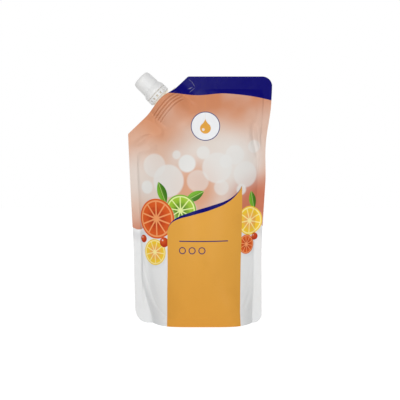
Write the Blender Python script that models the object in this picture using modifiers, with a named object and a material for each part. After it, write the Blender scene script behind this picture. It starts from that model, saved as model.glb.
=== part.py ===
"""Stand-up refill pouch for liquid hand soap, with a welded corner spout, a tamper ring and a screw cap.

Metres, +Z up. The origin is the middle of the footprint, on the floor, and the front of the pouch faces -Y.
The filled pouch is one solid. The spout, the ring and the cap are separate mouldings on one slanted axis.
"""

import math

import bmesh
import bpy
from mathutils import Vector

# Pouch film: flat size, seals and the belly that the soap gives it
POUCH_WIDTH = 0.135
POUCH_HEIGHT = 0.231
SIDE_SEAL = 0.008
TOP_SEAL = 0.012
SHOULDER_SEAL = 0.016
SEAL_THICKNESS = 0.0008
FOOT_CORNER_LEFT = 0.012
FOOT_CORNER_RIGHT = 0.0085
TOP_CORNER_RADIUS = 0.0095
BELLY_DEPTH = 0.0248
BELLY_HEIGHT = 0.060
BELLY_SHOULDER = 1.3
BELLY_TAPER = 0.68
FOOT_DEPTH = 0.0225
FOOT_SQUARENESS = 3.0
FOOT_SQUARE_HEIGHT = 0.060
SIDE_TAKE_UP = 1.48
FOOT_TAKE_UP = 0.14
SIDE_BOW = 0.0025
BOW_START = 0.20
BOW_SHARE = 0.76
MIDDLE_X = 0.00025
RIGHT_DENT = 0.0024
RIGHT_DENT_HEIGHT = 0.168
RIGHT_DENT_REACH = 0.038

# Flat wings of the bottom seal, and the bottom gusset folded up between them
WING_WIDTH_LEFT = 0.008
WING_WIDTH_RIGHT = 0.001
WING_HEIGHT = 0.045
SKIRT_THICKNESS = 0.0010
GUSSET_FLOOR = 0.0058
GUSSET_RISE = 0.026
GUSSET_SPAN = 0.94
GUSSET_END_POWER = 7
GUSSET_ARCH = 0.25

# Slanted shoulder, cut from the top edge down to the left side
SHOULDER_TOP_X = -0.0111
SHOULDER_DROP = 0.0534
SHOULDER_BLEND = 0.050
SPOUT_FROM_TOP = 0.0320
SPOUT_TURN = math.radians(2.6)
SEAL_HUMP = 0.0024
SEAL_HUMP_REACH = 0.021

# Spout: a boat-shaped weld base in the seal, and a threaded neck with two flanges
FIT_GAP = 0.0003
POCKET_WALL = 0.0006
POCKET_FADE = 0.026
BOAT_LENGTH = 0.032
BOAT_THICKNESS = 0.0136
BOAT_TIP = 0.0012
BOAT_TOP = 0.0020
WELD_RIBS = 4
WELD_RIB_HEIGHT = 0.0022
WELD_GROOVE_HEIGHT = 0.0014
WELD_GROOVE_DEPTH = 0.0004
NECK_RADIUS = 0.0064
BORE_RADIUS = 0.0049
NECK_TOP = 0.0255
FLANGE_RADIUS = 0.0096
FLANGE_BOTTOM = 0.0003
FLANGE_TOP = 0.0011
BEAD_RADIUS = 0.0083
BEAD_BOTTOM = 0.0044
BEAD_TOP = 0.0054

# Thread: two ridges on the neck, and two in the cap that sit just under them
THREAD_LEAD = 0.0060
THREAD_STARTS = 2
THREAD_START = math.radians(4.3)
THREAD_ROOT_WIDTH = 0.0014
THREAD_CREST_WIDTH = 0.0007
THREAD_SUNK = 0.0003
THREAD_FADE = math.radians(30)
NECK_THREAD_HEIGHT = 0.0009
NECK_THREAD_LOW = 0.0085
NECK_THREAD_TURN = math.radians(540)
CAP_THREAD_LOW = 0.0105
CAP_THREAD_TURN = math.radians(270)

# Tamper ring, held under the neck's bead
RING_RADIUS = 0.01085
RING_BOTTOM = 0.0014
RING_HEIGHT = 0.0048
RING_WALL = 0.0014
RING_LIP_RADIUS = 0.0068
RING_LIP_HEIGHT = 0.0007
RING_CHAMFER = 0.0006
WINDOW_COUNT = 15
WINDOW_WIDTH = 0.0019
WINDOW_HEIGHT = 0.0023
WINDOW_SILL = 0.0003
BRIDGE_WIDTH = 0.0007
BRIDGE_HEIGHT = 0.0004

# Screw cap: a wide skirt, a cone and a ribbed grip
CAP_TOP_WALL = 0.0014
CAP_SKIRT_HEIGHT = 0.0026
CAP_CONE_HEIGHT = 0.0040
CAP_GRIP_LOW_RADIUS = 0.0093
CAP_GRIP_TOP_RADIUS = 0.0087
CAP_STEP = 0.0003
CAP_TOP_ROUND = 0.0022
CAP_WALL = 0.0013
CAP_BORE_RADIUS = 0.0077
CAP_THREAD_HEIGHT = 0.0009
GRIP_RIB_COUNT = 36
GRIP_RIB_DEPTH = 0.00025
GRIP_RIB_WIDTH = 0.0007

# Fineness of the meshes
POUCH_COLUMNS = 40
POUCH_ROWS = 32
ROW_CROWDING = 1.35
ROUND_STEPS = 40
BOAT_STEPS = 14
GUSSET_COLUMNS = 20
GUSSET_WALL_STEPS = 3
GUSSET_ARCH_STEPS = 6
CAP_ROUND_STEPS = 4


def smooth_step(t):
    """0 below 0, 1 above 1, and an even S between."""
    t = min(max(t, 0.0), 1.0)
    return t * t * (3.0 - 2.0 * t)


# Outline of the pouch

def squareness(z):
    """Power of the front's plan curve: 2 is a lens, and the foot is squarer."""
    left = max(0.0, 1.0 - z / FOOT_SQUARE_HEIGHT)
    return 2.0 + FOOT_SQUARENESS * left * left


def belly(z):
    """How far the front stands out from the seal plane at its middle."""
    if z < BELLY_HEIGHT:
        return BELLY_DEPTH - (BELLY_DEPTH - FOOT_DEPTH) * (1.0 - max(z, 0.0) / BELLY_HEIGHT) ** 2
    seal_low = POUCH_HEIGHT - TOP_SEAL
    t = min((z - BELLY_HEIGHT) / (seal_low - BELLY_HEIGHT), 1.0)
    return BELLY_DEPTH * (1.0 - t**BELLY_SHOULDER) ** BELLY_TAPER


def half_width(z):
    """Half the pouch's width: the flat film's half less what the belly takes up."""
    body_width = POUCH_WIDTH - 2 * SIDE_SEAL
    take_up = SIDE_TAKE_UP + FOOT_TAKE_UP * (squareness(z) - 2.0)
    return POUCH_WIDTH / 2 - take_up * belly(z) ** 2 / body_width


def bow(z):
    """The filled pouch leans a little to the left at mid height."""
    return SIDE_BOW * math.sin(math.pi * (BOW_START + BOW_SHARE * z / POUCH_HEIGHT))


def left_edge(z):
    return MIDDLE_X - half_width(z) - bow(z)


def right_edge(z):
    away = min(abs(z - RIGHT_DENT_HEIGHT) / RIGHT_DENT_REACH, 1.0)
    return MIDDLE_X + half_width(z) - bow(z) - RIGHT_DENT * (1.0 - smooth_step(away))


SHOULDER_TOP = Vector((SHOULDER_TOP_X, 0.0, POUCH_HEIGHT))
SHOULDER_LOW_Z = POUCH_HEIGHT - SHOULDER_DROP
SHOULDER_LOW = Vector((left_edge(SHOULDER_LOW_Z), 0.0, SHOULDER_LOW_Z))
SHOULDER_ALONG = (SHOULDER_TOP - SHOULDER_LOW).normalized()
SHOULDER_OUT = Vector((-SHOULDER_ALONG.z, 0.0, SHOULDER_ALONG.x))

# The spout's frame: +X along the shoulder, +Z out of the pouch, and the film's edge at Z = 0
SPOUT_TILT = math.atan2(SHOULDER_OUT.x, SHOULDER_OUT.z) - SPOUT_TURN
SPOUT_ALONG = Vector((math.cos(SPOUT_TILT), 0.0, -math.sin(SPOUT_TILT)))
SPOUT_OUT = Vector((math.sin(SPOUT_TILT), 0.0, math.cos(SPOUT_TILT)))
SPOUT_FOOT = SHOULDER_TOP - SHOULDER_ALONG * SPOUT_FROM_TOP + SHOULDER_OUT * SEAL_HUMP
BOAT_HEIGHT = WELD_RIBS * WELD_RIB_HEIGHT + (WELD_RIBS - 1) * WELD_GROOVE_HEIGHT


def hump(x):
    """How far the film's edge rises over the spout, square to the shoulder."""
    along = abs((Vector((x, 0.0, 0.0)) - SPOUT_FOOT).x / SHOULDER_ALONG.x)
    if along > SEAL_HUMP_REACH:
        return 0.0
    return SEAL_HUMP * math.cos(math.pi / 2 * along / SEAL_HUMP_REACH) ** 2


def top_edge(x):
    """Height of the film's upper edge: shoulder, top seal and rounded right corner."""
    if x < SHOULDER_TOP_X:
        slope = SHOULDER_ALONG.z / SHOULDER_ALONG.x
        return POUCH_HEIGHT + (x - SHOULDER_TOP_X) * slope + hump(x) / SHOULDER_OUT.z
    past = x - (right_edge(POUCH_HEIGHT) - TOP_CORNER_RADIUS)
    if past <= 0:
        return POUCH_HEIGHT
    past = min(past, TOP_CORNER_RADIUS)
    return POUCH_HEIGHT - TOP_CORNER_RADIUS + math.sqrt(TOP_CORNER_RADIUS**2 - past**2)


def foot_edge(x):
    """Height of the film's lower edge: the floor, with both corners rounded."""
    if x < MIDDLE_X:
        radius = FOOT_CORNER_LEFT
        past = left_edge(0.0) + radius - x
    else:
        radius = FOOT_CORNER_RIGHT
        past = x - right_edge(0.0) + radius
    past = min(max(past, 0.0), radius)
    return radius - math.sqrt(radius**2 - past**2)


# Thickness of the pouch

def rise(distance, width, power):
    """0 at the seal, 1 from width inwards, and a smooth curve between."""
    t = min(max(distance / width, 0.0), 1.0)
    return 1.0 - (1.0 - t) ** power


def wing(z, width):
    """Extra flat width above the corner of the bottom seal."""
    return width * (1.0 - smooth_step(z / WING_HEIGHT))


def body_depth(x, z):
    """Half depth of the soap-filled body, 0 in the seals."""
    left = left_edge(z) + SIDE_SEAL + wing(z, WING_WIDTH_LEFT)
    right = right_edge(z) - SIDE_SEAL - wing(z, WING_WIDTH_RIGHT)
    half = (right - left) / 2
    power = squareness(z)
    inside = (SHOULDER_TOP - Vector((x, 0.0, z))).dot(SHOULDER_OUT) - SHOULDER_SEAL
    sides = rise(x - left, half, power) * rise(right - x, half, power)
    return belly(z) * sides * rise(inside, SHOULDER_BLEND, 2.0)


def boat_half(along):
    """Half thickness of the spout's weld base, at a distance along the shoulder from its middle."""
    t = min(abs(along) / (BOAT_LENGTH / 2), 1.0)
    return BOAT_TIP / 2 + (BOAT_THICKNESS - BOAT_TIP) / 2 * (1.0 - t * t)


def pocket_depth(x, z):
    """Half depth of the film where it wraps the spout's weld base."""
    from_foot = Vector((x, 0.0, z)) - SPOUT_FOOT
    along = from_foot.dot(SPOUT_ALONG)
    inwards = -from_foot.dot(SPOUT_OUT)
    full = boat_half(along) + FIT_GAP + POCKET_WALL
    past_tip = 1.0 - smooth_step((abs(along) - BOAT_LENGTH / 2 - FIT_GAP) / SIDE_SEAL)
    past_base = 1.0 - smooth_step((inwards - BOAT_TOP - BOAT_HEIGHT - FIT_GAP) / POCKET_FADE)
    return full * past_tip * past_base


def half_depth(x, z):
    """Half depth of the pouch anywhere inside its outline."""
    body = body_depth(x, z)
    pocket = pocket_depth(x, z)
    return SEAL_THICKNESS / 2 + math.sqrt(body * body + pocket * pocket)


def column_point(u, z):
    return left_edge(z) + u * (right_edge(z) - left_edge(z))


def column_end(u, edge, z):
    """Where a column of the film meets an edge, found by going to and fro a few times."""
    for _ in range(12):
        z = edge(column_point(u, z))
    return z


# Blender helpers

def clear_scene():
    for obj in list(bpy.data.objects):
        bpy.data.objects.remove(obj)


def make_collection(name):
    collection = bpy.data.collections.new(name)
    bpy.context.scene.collection.children.link(collection)
    return collection


def make_material(name, colour, roughness):
    material = bpy.data.materials.new(name)
    material.use_nodes = True
    shader = material.node_tree.nodes["Principled BSDF"]
    shader.inputs["Base Color"].default_value = (*colour, 1.0)
    shader.inputs["Roughness"].default_value = roughness
    shader.inputs["Metallic"].default_value = 0.0
    return material


def add_object(name, mesh, collection, parent=None, material=None):
    obj = bpy.data.objects.new(name, mesh)
    collection.objects.link(obj)
    obj.parent = parent
    if material:
        mesh.materials.append(material)
    return obj


def mesh_from(name, points, faces):
    mesh = bpy.data.meshes.new(name)
    mesh.from_pydata([tuple(p) for p in points], [], faces)
    mesh.validate()
    return mesh


def make_helper(name, mesh, collection, parent=None):
    helper = add_object(name, mesh, collection, parent)
    helper.hide_render = True
    helper.display_type = "WIRE"
    return helper


def combine(obj, other, operation):
    modifier = obj.modifiers.new(operation.title() + " " + other.name, "BOOLEAN")
    modifier.operation = operation
    modifier.object = other
    modifier.solver = "EXACT"


def turn_profile(obj, steps):
    """Turns the object's profile of edges round its Z axis."""
    screw = obj.modifiers.new("Turn", "SCREW")
    screw.steps = steps
    screw.render_steps = steps
    screw.use_merge_vertices = True
    screw.merge_threshold = 0.00001


def profile_mesh(name, points):
    """A closed outline of (radius, height) points, going down its outer side."""
    count = len(points)
    mesh = bpy.data.meshes.new(name)
    edges = [(i, (i + 1) % count) for i in range(count)]
    mesh.from_pydata([(r, 0.0, h) for r, h in points], edges, [])
    return mesh


def skin_rings(name, rings):
    """A closed mesh through rings with equal counts of points, capped at both ends."""
    count = len(rings[0])
    points = [p for ring in rings for p in ring]
    faces = [tuple(reversed(range(count)))]
    for r in range(len(rings) - 1):
        low, high = r * count, (r + 1) * count
        for i in range(count):
            j = (i + 1) % count
            faces.append((low + i, low + j, high + j, high + i))
    last = (len(rings) - 1) * count
    faces.append(tuple(range(last, last + count)))
    mesh = mesh_from(name, points, faces)
    face_outwards(mesh)
    return mesh


def face_outwards(mesh):
    work = bmesh.new()
    work.from_mesh(mesh)
    bmesh.ops.recalc_face_normals(work, faces=work.faces)
    work.to_mesh(mesh)
    work.free()


def boxes_mesh(name, count, size, radius, height, start=0.0):
    """Boxes of one size, standing in a circle round Z, with their middles at a radius and a height."""
    work = bmesh.new()
    for i in range(count):
        made = bmesh.ops.create_cube(work, size=1.0)["verts"]
        bmesh.ops.scale(work, vec=size, verts=made)
        bmesh.ops.translate(work, vec=(radius, 0.0, height), verts=made)
        turn = start + 2 * math.pi * i / count
        cos, sin = math.cos(turn), math.sin(turn)
        for v in made:
            v.co = (v.co.x * cos - v.co.y * sin, v.co.x * sin + v.co.y * cos, v.co.z)
    mesh = bpy.data.meshes.new(name)
    work.to_mesh(mesh)
    work.free()
    return mesh


def shade_round(mesh, degrees=35):
    mesh.shade_smooth()
    mesh.set_sharp_from_angle(angle=math.radians(degrees))


# The pouch

def pouch_mesh():
    """Front and back films on one grid, joined round the edge and across the foot."""
    front, back = [], []
    for i in range(POUCH_COLUMNS + 1):
        u = i / POUCH_COLUMNS
        low = column_end(u, foot_edge, 0.0)
        high = column_end(u, top_edge, POUCH_HEIGHT)
        for j in range(POUCH_ROWS + 1):
            v = 1.0 - (1.0 - j / POUCH_ROWS) ** ROW_CROWDING
            z = low + (high - low) * v
            x = column_point(u, z)
            depth = half_depth(x, z)
            front.append((x, -depth, z))
            back.append((x, depth, z))
    rows = POUCH_ROWS + 1
    behind = len(front)
    faces = []
    for i in range(POUCH_COLUMNS):
        for j in range(POUCH_ROWS):
            a, b = i * rows + j, (i + 1) * rows + j
            faces.append((a, b, b + 1, a + 1))
            faces.append((a + behind, a + 1 + behind, b + 1 + behind, b + behind))
        foot, top = i * rows, i * rows + rows - 1
        faces.append((foot, foot + behind, foot + rows + behind, foot + rows))
        faces.append((top, top + rows, top + rows + behind, top + behind))
    last = POUCH_COLUMNS * rows
    for j in range(POUCH_ROWS):
        faces.append((j, j + 1, j + 1 + behind, j + behind))
        faces.append((last + j, last + j + behind, last + j + 1 + behind, last + j + 1))
    mesh = mesh_from("refill_pouch", front + back, faces)
    face_outwards(mesh)
    shade_round(mesh, 50)
    return mesh


def skirt_inside(x, z):
    """Half the space between the skirts, under the gusset."""
    return half_depth(x, max(z, 0.0)) - SKIRT_THICKNESS


def gusset_mesh():
    """The hollow under the pouch, between the skirts of the front and back films."""
    floor_left = left_edge(0.0) + SIDE_SEAL + WING_WIDTH_LEFT
    floor_right = right_edge(0.0) - SIDE_SEAL - WING_WIDTH_RIGHT
    middle, half = (floor_left + floor_right) / 2, (floor_right - floor_left) / 2
    rings = []
    for i in range(GUSSET_COLUMNS + 1):
        s = -GUSSET_SPAN * math.cos(math.pi * i / GUSSET_COLUMNS)
        x = middle + half * s
        roof = GUSSET_FLOOR + GUSSET_RISE * abs(s) ** GUSSET_END_POWER
        heights = [-GUSSET_FLOOR]
        heights += [roof * k / GUSSET_WALL_STEPS for k in range(1, GUSSET_WALL_STEPS + 1)]
        walls = [(x, -skirt_inside(x, z), z) for z in heights]
        width = skirt_inside(x, roof)
        arch = []
        for k in range(1, GUSSET_ARCH_STEPS):
            turn = math.pi * k / GUSSET_ARCH_STEPS
            arch.append((x, -width * math.cos(turn), roof * (1 + GUSSET_ARCH * math.sin(turn))))
        rings.append(walls + arch + [(x, -y, z) for _, y, z in reversed(walls)])
    return skin_rings("gusset_hollow", rings)


def boat_outline(extra, height):
    """The weld base's outline, square to the spout's axis, grown by extra."""
    half_length = BOAT_LENGTH / 2 + extra
    side = []
    for i in range(BOAT_STEPS + 1):
        along = half_length * -math.cos(math.pi * i / BOAT_STEPS)
        side.append((along, boat_half(along * (BOAT_LENGTH / 2) / half_length) + extra))
    front = [(a, -t, height) for a, t in side]
    back = [(a, t, height) for a, t in reversed(side)]
    return front + back


def make_pouch(parts, helpers, frame, material):
    pouch = add_object("refill_pouch", pouch_mesh(), parts, material=material)
    gusset = make_helper("gusset_hollow", gusset_mesh(), helpers)
    past_edge = SEAL_HUMP + BOAT_TOP
    low = -BOAT_TOP - BOAT_HEIGHT - FIT_GAP
    rings = [boat_outline(FIT_GAP, low), boat_outline(FIT_GAP, past_edge)]
    socket = make_helper("spout_socket", skin_rings("spout_socket", rings), helpers, frame)
    combine(pouch, gusset, "DIFFERENCE")
    combine(pouch, socket, "DIFFERENCE")
    return pouch


# The thread

def thread_mesh(name, root, crest, low, start, turn):
    """One ridge of a thread, from root to crest radius, starting low and fading out at both ends."""
    steps = round(turn / (2 * math.pi) * ROUND_STEPS)
    base = root + math.copysign(THREAD_SUNK, root - crest)
    rings = []
    for i in range(steps + 1):
        along = turn * i / steps
        full = smooth_step(min(along, turn - along) / THREAD_FADE)
        height = low + THREAD_LEAD * along / (2 * math.pi)
        hidden = (base + root) / 2
        ends = [(base, THREAD_ROOT_WIDTH), (hidden + (crest - hidden) * full, THREAD_CREST_WIDTH)]
        section = [(r, height - w / 2) for r, w in ends] + [(r, height + w / 2) for r, w in reversed(ends)]
        cos, sin = math.cos(start + along), math.sin(start + along)
        rings.append([(r * cos, r * sin, h) for r, h in section])
    return skin_rings(name, rings)


def add_threads(obj, helpers, frame, root, crest, low, turn):
    for k in range(THREAD_STARTS):
        name = obj.name + "_thread_" + str(k + 1)
        start = THREAD_START + 2 * math.pi * k / THREAD_STARTS
        mesh = thread_mesh(name, root, crest, low, start, turn)
        combine(obj, make_helper(name, mesh, helpers, frame), "UNION")


# The spout

def boat_mesh():
    """The weld base with its sealing ribs."""
    rings = []
    height = -BOAT_TOP - BOAT_HEIGHT
    for rib in range(WELD_RIBS):
        rings.append(boat_outline(0.0, height))
        height += WELD_RIB_HEIGHT
        rings.append(boat_outline(0.0, height))
        if rib < WELD_RIBS - 1:
            rings.append(boat_outline(-WELD_GROOVE_DEPTH, height))
            height += WELD_GROOVE_HEIGHT
            rings.append(boat_outline(-WELD_GROOVE_DEPTH, height))
    return skin_rings("weld_base", rings)


def neck_profile():
    """The neck from its mouth down, with the tamper bead and the lower flange."""
    mouth_round = 0.0004
    bead_slope = 0.0006
    root = -BOAT_TOP - BOAT_HEIGHT / 2
    return [
        (0.0, NECK_TOP),
        (NECK_RADIUS - mouth_round, NECK_TOP),
        (NECK_RADIUS, NECK_TOP - mouth_round),
        (NECK_RADIUS, BEAD_TOP + bead_slope),
        (BEAD_RADIUS, BEAD_TOP),
        (BEAD_RADIUS, BEAD_BOTTOM),
        (NECK_RADIUS, BEAD_BOTTOM),
        (NECK_RADIUS, FLANGE_TOP),
        (FLANGE_RADIUS, FLANGE_TOP),
        (FLANGE_RADIUS, FLANGE_BOTTOM),
        (NECK_RADIUS, FLANGE_BOTTOM),
        (NECK_RADIUS, root),
        (0.0, root),
    ]


def turned_open(name, points):
    """A profile that starts and ends on the axis."""
    mesh = bpy.data.meshes.new(name)
    edges = [(i, i + 1) for i in range(len(points) - 1)]
    mesh.from_pydata([(r, 0.0, h) for r, h in points], edges, [])
    return mesh


def make_spout(parts, helpers, frame, material):
    spout = add_object("spout", boat_mesh(), parts, frame, material)
    neck = make_helper("neck_blank", turned_open("neck_blank", neck_profile()), helpers, frame)
    turn_profile(neck, ROUND_STEPS)
    past = 0.002
    bottom = -BOAT_TOP - BOAT_HEIGHT - past
    outline = [(0.0, NECK_TOP + past), (BORE_RADIUS, NECK_TOP + past), (BORE_RADIUS, bottom), (0.0, bottom)]
    bore = make_helper("spout_bore", turned_open("spout_bore", outline), helpers, frame)
    turn_profile(bore, ROUND_STEPS)
    combine(spout, neck, "UNION")
    crest = NECK_RADIUS + NECK_THREAD_HEIGHT
    add_threads(spout, helpers, frame, NECK_RADIUS, crest, NECK_THREAD_LOW, NECK_THREAD_TURN)
    combine(spout, bore, "DIFFERENCE")
    return spout


# The tamper ring

RING_TOP = RING_BOTTOM + RING_HEIGHT
CAP_BOTTOM = RING_TOP + BRIDGE_HEIGHT + FIT_GAP


def make_ring(parts, helpers, frame, material):
    inner = RING_RADIUS - RING_WALL
    outline = [
        (RING_RADIUS, RING_TOP),
        (RING_RADIUS, RING_BOTTOM + RING_CHAMFER),
        (RING_RADIUS - RING_CHAMFER, RING_BOTTOM),
        (RING_LIP_RADIUS, RING_BOTTOM),
        (RING_LIP_RADIUS, RING_BOTTOM + RING_LIP_HEIGHT),
        (inner, RING_BOTTOM + RING_LIP_HEIGHT),
        (inner, RING_TOP),
    ]
    ring = add_object("tamper_ring", profile_mesh("tamper_ring", outline), parts, frame, material)
    turn_profile(ring, WINDOW_COUNT * 3)
    cut_depth = 3 * RING_WALL
    window_middle = RING_BOTTOM + RING_LIP_HEIGHT + WINDOW_SILL + WINDOW_HEIGHT / 2
    size = (cut_depth, WINDOW_WIDTH, WINDOW_HEIGHT)
    windows = boxes_mesh("ring_windows", WINDOW_COUNT, size, RING_RADIUS - RING_WALL / 2, window_middle)
    combine(ring, make_helper("ring_windows", windows, helpers, frame), "DIFFERENCE")
    sunk = 0.0006
    size = (RING_WALL * 0.6, BRIDGE_WIDTH, BRIDGE_HEIGHT + sunk)
    height = RING_TOP + (BRIDGE_HEIGHT - sunk) / 2
    half_pitch = math.pi / WINDOW_COUNT
    bridges = boxes_mesh("ring_bridges", WINDOW_COUNT, size, RING_RADIUS - RING_WALL / 2, height, half_pitch)
    combine(ring, make_helper("ring_bridges", bridges, helpers, frame), "UNION")
    return ring


# The screw cap

def cap_profile():
    """The cap's wall, from the middle of its top down the outside and up the inside."""
    inside_top = NECK_TOP + FIT_GAP
    top = inside_top + CAP_TOP_WALL
    cone_low = CAP_BOTTOM + CAP_SKIRT_HEIGHT
    grip_low = cone_low + CAP_CONE_HEIGHT
    inside = RING_RADIUS - CAP_WALL
    points = [(0.0, top)]
    for k in range(CAP_ROUND_STEPS + 1):
        turn = math.pi / 2 * (1 - k / CAP_ROUND_STEPS)
        radius = CAP_GRIP_TOP_RADIUS - CAP_TOP_ROUND * (1 - math.cos(turn))
        points.append((radius, top - CAP_TOP_ROUND * (1 - math.sin(turn))))
    points += [
        (CAP_GRIP_LOW_RADIUS, grip_low),
        (CAP_GRIP_LOW_RADIUS - CAP_STEP, grip_low),
        (RING_RADIUS, cone_low),
        (RING_RADIUS, CAP_BOTTOM),
        (inside, CAP_BOTTOM),
        (inside, cone_low),
        (CAP_BORE_RADIUS, grip_low - CAP_WALL),
        (CAP_BORE_RADIUS, inside_top),
        (0.0, inside_top),
    ]
    return points


def make_cap(parts, helpers, frame, material):
    cap = add_object("screw_cap", turned_open("screw_cap", cap_profile()), parts, frame, material)
    turn_profile(cap, GRIP_RIB_COUNT)
    low = CAP_BOTTOM + CAP_SKIRT_HEIGHT + CAP_CONE_HEIGHT
    high = NECK_TOP + FIT_GAP + CAP_TOP_WALL - CAP_TOP_ROUND
    sunk = CAP_WALL / 2
    size = (GRIP_RIB_DEPTH + sunk, GRIP_RIB_WIDTH, high - low)
    ribs = boxes_mesh("grip_ribs", GRIP_RIB_COUNT, size, 0.0, (low + high) / 2)
    lean_ribs(ribs, low, high, sunk)
    combine(cap, make_helper("grip_ribs", ribs, helpers, frame), "UNION")
    crest = CAP_BORE_RADIUS - CAP_THREAD_HEIGHT
    add_threads(cap, helpers, frame, CAP_BORE_RADIUS, crest, CAP_THREAD_LOW, CAP_THREAD_TURN)
    return cap


def lean_ribs(mesh, low, high, sunk):
    """Moves the ribs out to the grip's wall, which is narrower at its top."""
    count = len(mesh.vertices) // GRIP_RIB_COUNT
    for i, vertex in enumerate(mesh.vertices):
        turn = 2 * math.pi * (i // count) / GRIP_RIB_COUNT + math.pi / GRIP_RIB_COUNT
        share = (vertex.co.z - low) / (high - low)
        wall = CAP_GRIP_LOW_RADIUS + (CAP_GRIP_TOP_RADIUS - CAP_GRIP_LOW_RADIUS) * share
        radius = wall * math.cos(math.pi / GRIP_RIB_COUNT) + (GRIP_RIB_DEPTH - sunk) / 2
        vertex.co.x += radius * math.cos(turn)
        vertex.co.y += radius * math.sin(turn)


def main():
    clear_scene()
    parts = make_collection("hand_soap_refill_pack")
    helpers = make_collection("cutters_and_blanks")
    film = make_material("film", (0.86, 0.62, 0.45), 0.35)
    spout_plastic = make_material("spout_plastic", (0.86, 0.86, 0.84), 0.4)
    cap_plastic = make_material("cap_plastic", (0.88, 0.88, 0.87), 0.4)
    frame = bpy.data.objects.new("spout_frame", None)
    parts.objects.link(frame)
    frame.location = SPOUT_FOOT
    frame.rotation_euler = (0.0, SPOUT_TILT, 0.0)
    make_pouch(parts, helpers, frame, film)
    make_spout(parts, helpers, frame, spout_plastic)
    make_ring(parts, helpers, frame, cap_plastic)
    make_cap(parts, helpers, frame, cap_plastic)


main()
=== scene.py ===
"""Looks of the hand soap refill pack: printed film, and a milky spout, tamper ring and screw cap.

Lengths are in metres in the row frame: +Z up, and the front of the pouch faces -Y.
The print is drawn in millimetres of flat film, as it lay before it was filled:
across from the middle, and up from the foot.
"""

import math

import bmesh
import bpy
import numpy as np
from mathutils import Matrix, Vector, noise


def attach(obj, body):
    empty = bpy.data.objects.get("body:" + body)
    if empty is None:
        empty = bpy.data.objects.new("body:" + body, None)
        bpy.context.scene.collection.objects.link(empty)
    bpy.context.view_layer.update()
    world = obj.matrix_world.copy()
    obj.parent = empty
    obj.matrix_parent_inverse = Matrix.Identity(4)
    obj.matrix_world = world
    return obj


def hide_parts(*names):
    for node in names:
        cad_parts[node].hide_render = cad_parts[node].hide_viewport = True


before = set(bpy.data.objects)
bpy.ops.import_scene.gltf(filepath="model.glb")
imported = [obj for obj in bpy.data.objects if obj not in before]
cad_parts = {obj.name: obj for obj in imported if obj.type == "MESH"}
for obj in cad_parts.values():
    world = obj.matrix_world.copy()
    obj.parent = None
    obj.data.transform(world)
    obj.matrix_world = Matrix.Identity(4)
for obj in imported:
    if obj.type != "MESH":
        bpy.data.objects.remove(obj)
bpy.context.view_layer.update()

# Pouch film, as the solid has it
POUCH_WIDTH = 0.135
POUCH_HEIGHT = 0.231
SIDE_SEAL = 0.008
TOP_SEAL = 0.012
SHOULDER_SEAL = 0.016
FILM_THICKNESS = 0.0005
FOOT_CORNER_LEFT = 0.012
FOOT_CORNER_RIGHT = 0.0085
TOP_CORNER_RADIUS = 0.0095
BELLY_DEPTH = 0.0248
BELLY_HEIGHT = 0.060
BELLY_SHOULDER = 1.3
BELLY_TAPER = 0.68
FOOT_DEPTH = 0.0225
FOOT_SQUARENESS = 3.0
FOOT_SQUARE_HEIGHT = 0.060
SIDE_TAKE_UP = 1.48
FOOT_TAKE_UP = 0.14
SIDE_BOW = 0.0025
BOW_START = 0.20
BOW_SHARE = 0.76
MIDDLE_X = 0.00025
RIGHT_DENT = 0.0024
RIGHT_DENT_HEIGHT = 0.168
RIGHT_DENT_REACH = 0.038
WING_WIDTH_LEFT = 0.008
WING_WIDTH_RIGHT = 0.001
WING_HEIGHT = 0.045
GUSSET_FLOOR = 0.0060
GUSSET_RISE = 0.026
GUSSET_SPAN = 0.94
GUSSET_END = 0.05
GUSSET_ROOF_POWER = 7
GUSSET_CROWN = 0.25
ROUND_POWER = 2.0

# Slanted shoulder and the spout on it
SHOULDER_TOP_X = -0.0111
SHOULDER_DROP = 0.0534
SHOULDER_BLEND = 0.050
SPOUT_FROM_TOP = 0.0320
SPOUT_TURN = math.radians(2.6)
SEAL_HUMP = 0.0024
SEAL_HUMP_REACH = 0.021
FIT_GAP = 0.0003
POCKET_WALL = 0.0005
POCKET_FADE = 0.026
BOAT_LENGTH = 0.032
BOAT_THICKNESS = 0.0136
BOAT_TIP = 0.0012
BOAT_TOP = 0.0020
WELD_RIBS = 4
WELD_RIB_HEIGHT = 0.0022
WELD_GROOVE_HEIGHT = 0.0014
WELD_RIB_DEPTH = 0.0004
BOAT_HEIGHT = WELD_RIBS * WELD_RIB_HEIGHT + (WELD_RIBS - 1) * WELD_GROOVE_HEIGHT
BOAT_STEPS = 24

# Fineness of the film's mesh
FILM_COLUMNS = 188
FILM_ROWS = 242
# Places across the film, from 0 to 1, where columns lie closer, and how far that reaches
SEAL_COLUMNS_LEFT = (0.090, 0.030)
SEAL_COLUMNS_RIGHT = (0.938, 0.020)
SEAL_COLUMNS_CLOSER = 1.6
WELD_COLUMNS = (0.225, 0.105)
WELD_COLUMNS_CLOSER = 1.3
WELD_ROWS_START = 0.875
WELD_ROWS_CLOSER = 1.6
CLOSER_FADE = 0.02
SHARES_FINENESS = 20
EDGE_ROUNDS = 14
ARC_STEPS = 60
SLOPE_STEP = 0.0001
GUSSET_WALL_STEPS = 3
GUSSET_ARCH_STEPS = 14
MERGE_DISTANCE = 1e-6

# Mouth of the film's pocket over the weld base
MOUTH_DEPTH = 0.0019
MOUTH_LEAST = 0.0006

# Material slots of the film
FRONT_SLOT, BACK_SLOT, GUSSET_SLOT = 0, 1, 2

# Edges that bend by more than this stay sharp
FILM_SHARP = math.radians(60)
TURNED_SHARP = math.radians(50)
MOULDED_SHARP = math.radians(40)
BEVEL_SHARP = math.radians(30)


def smooth_step(t):
    t = np.clip(t, 0.0, 1.0)
    return t * t * (3.0 - 2.0 * t)


# Outline of the film

def squareness(z):
    left = np.maximum(0.0, 1.0 - z / FOOT_SQUARE_HEIGHT)
    return ROUND_POWER + FOOT_SQUARENESS * left * left


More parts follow.
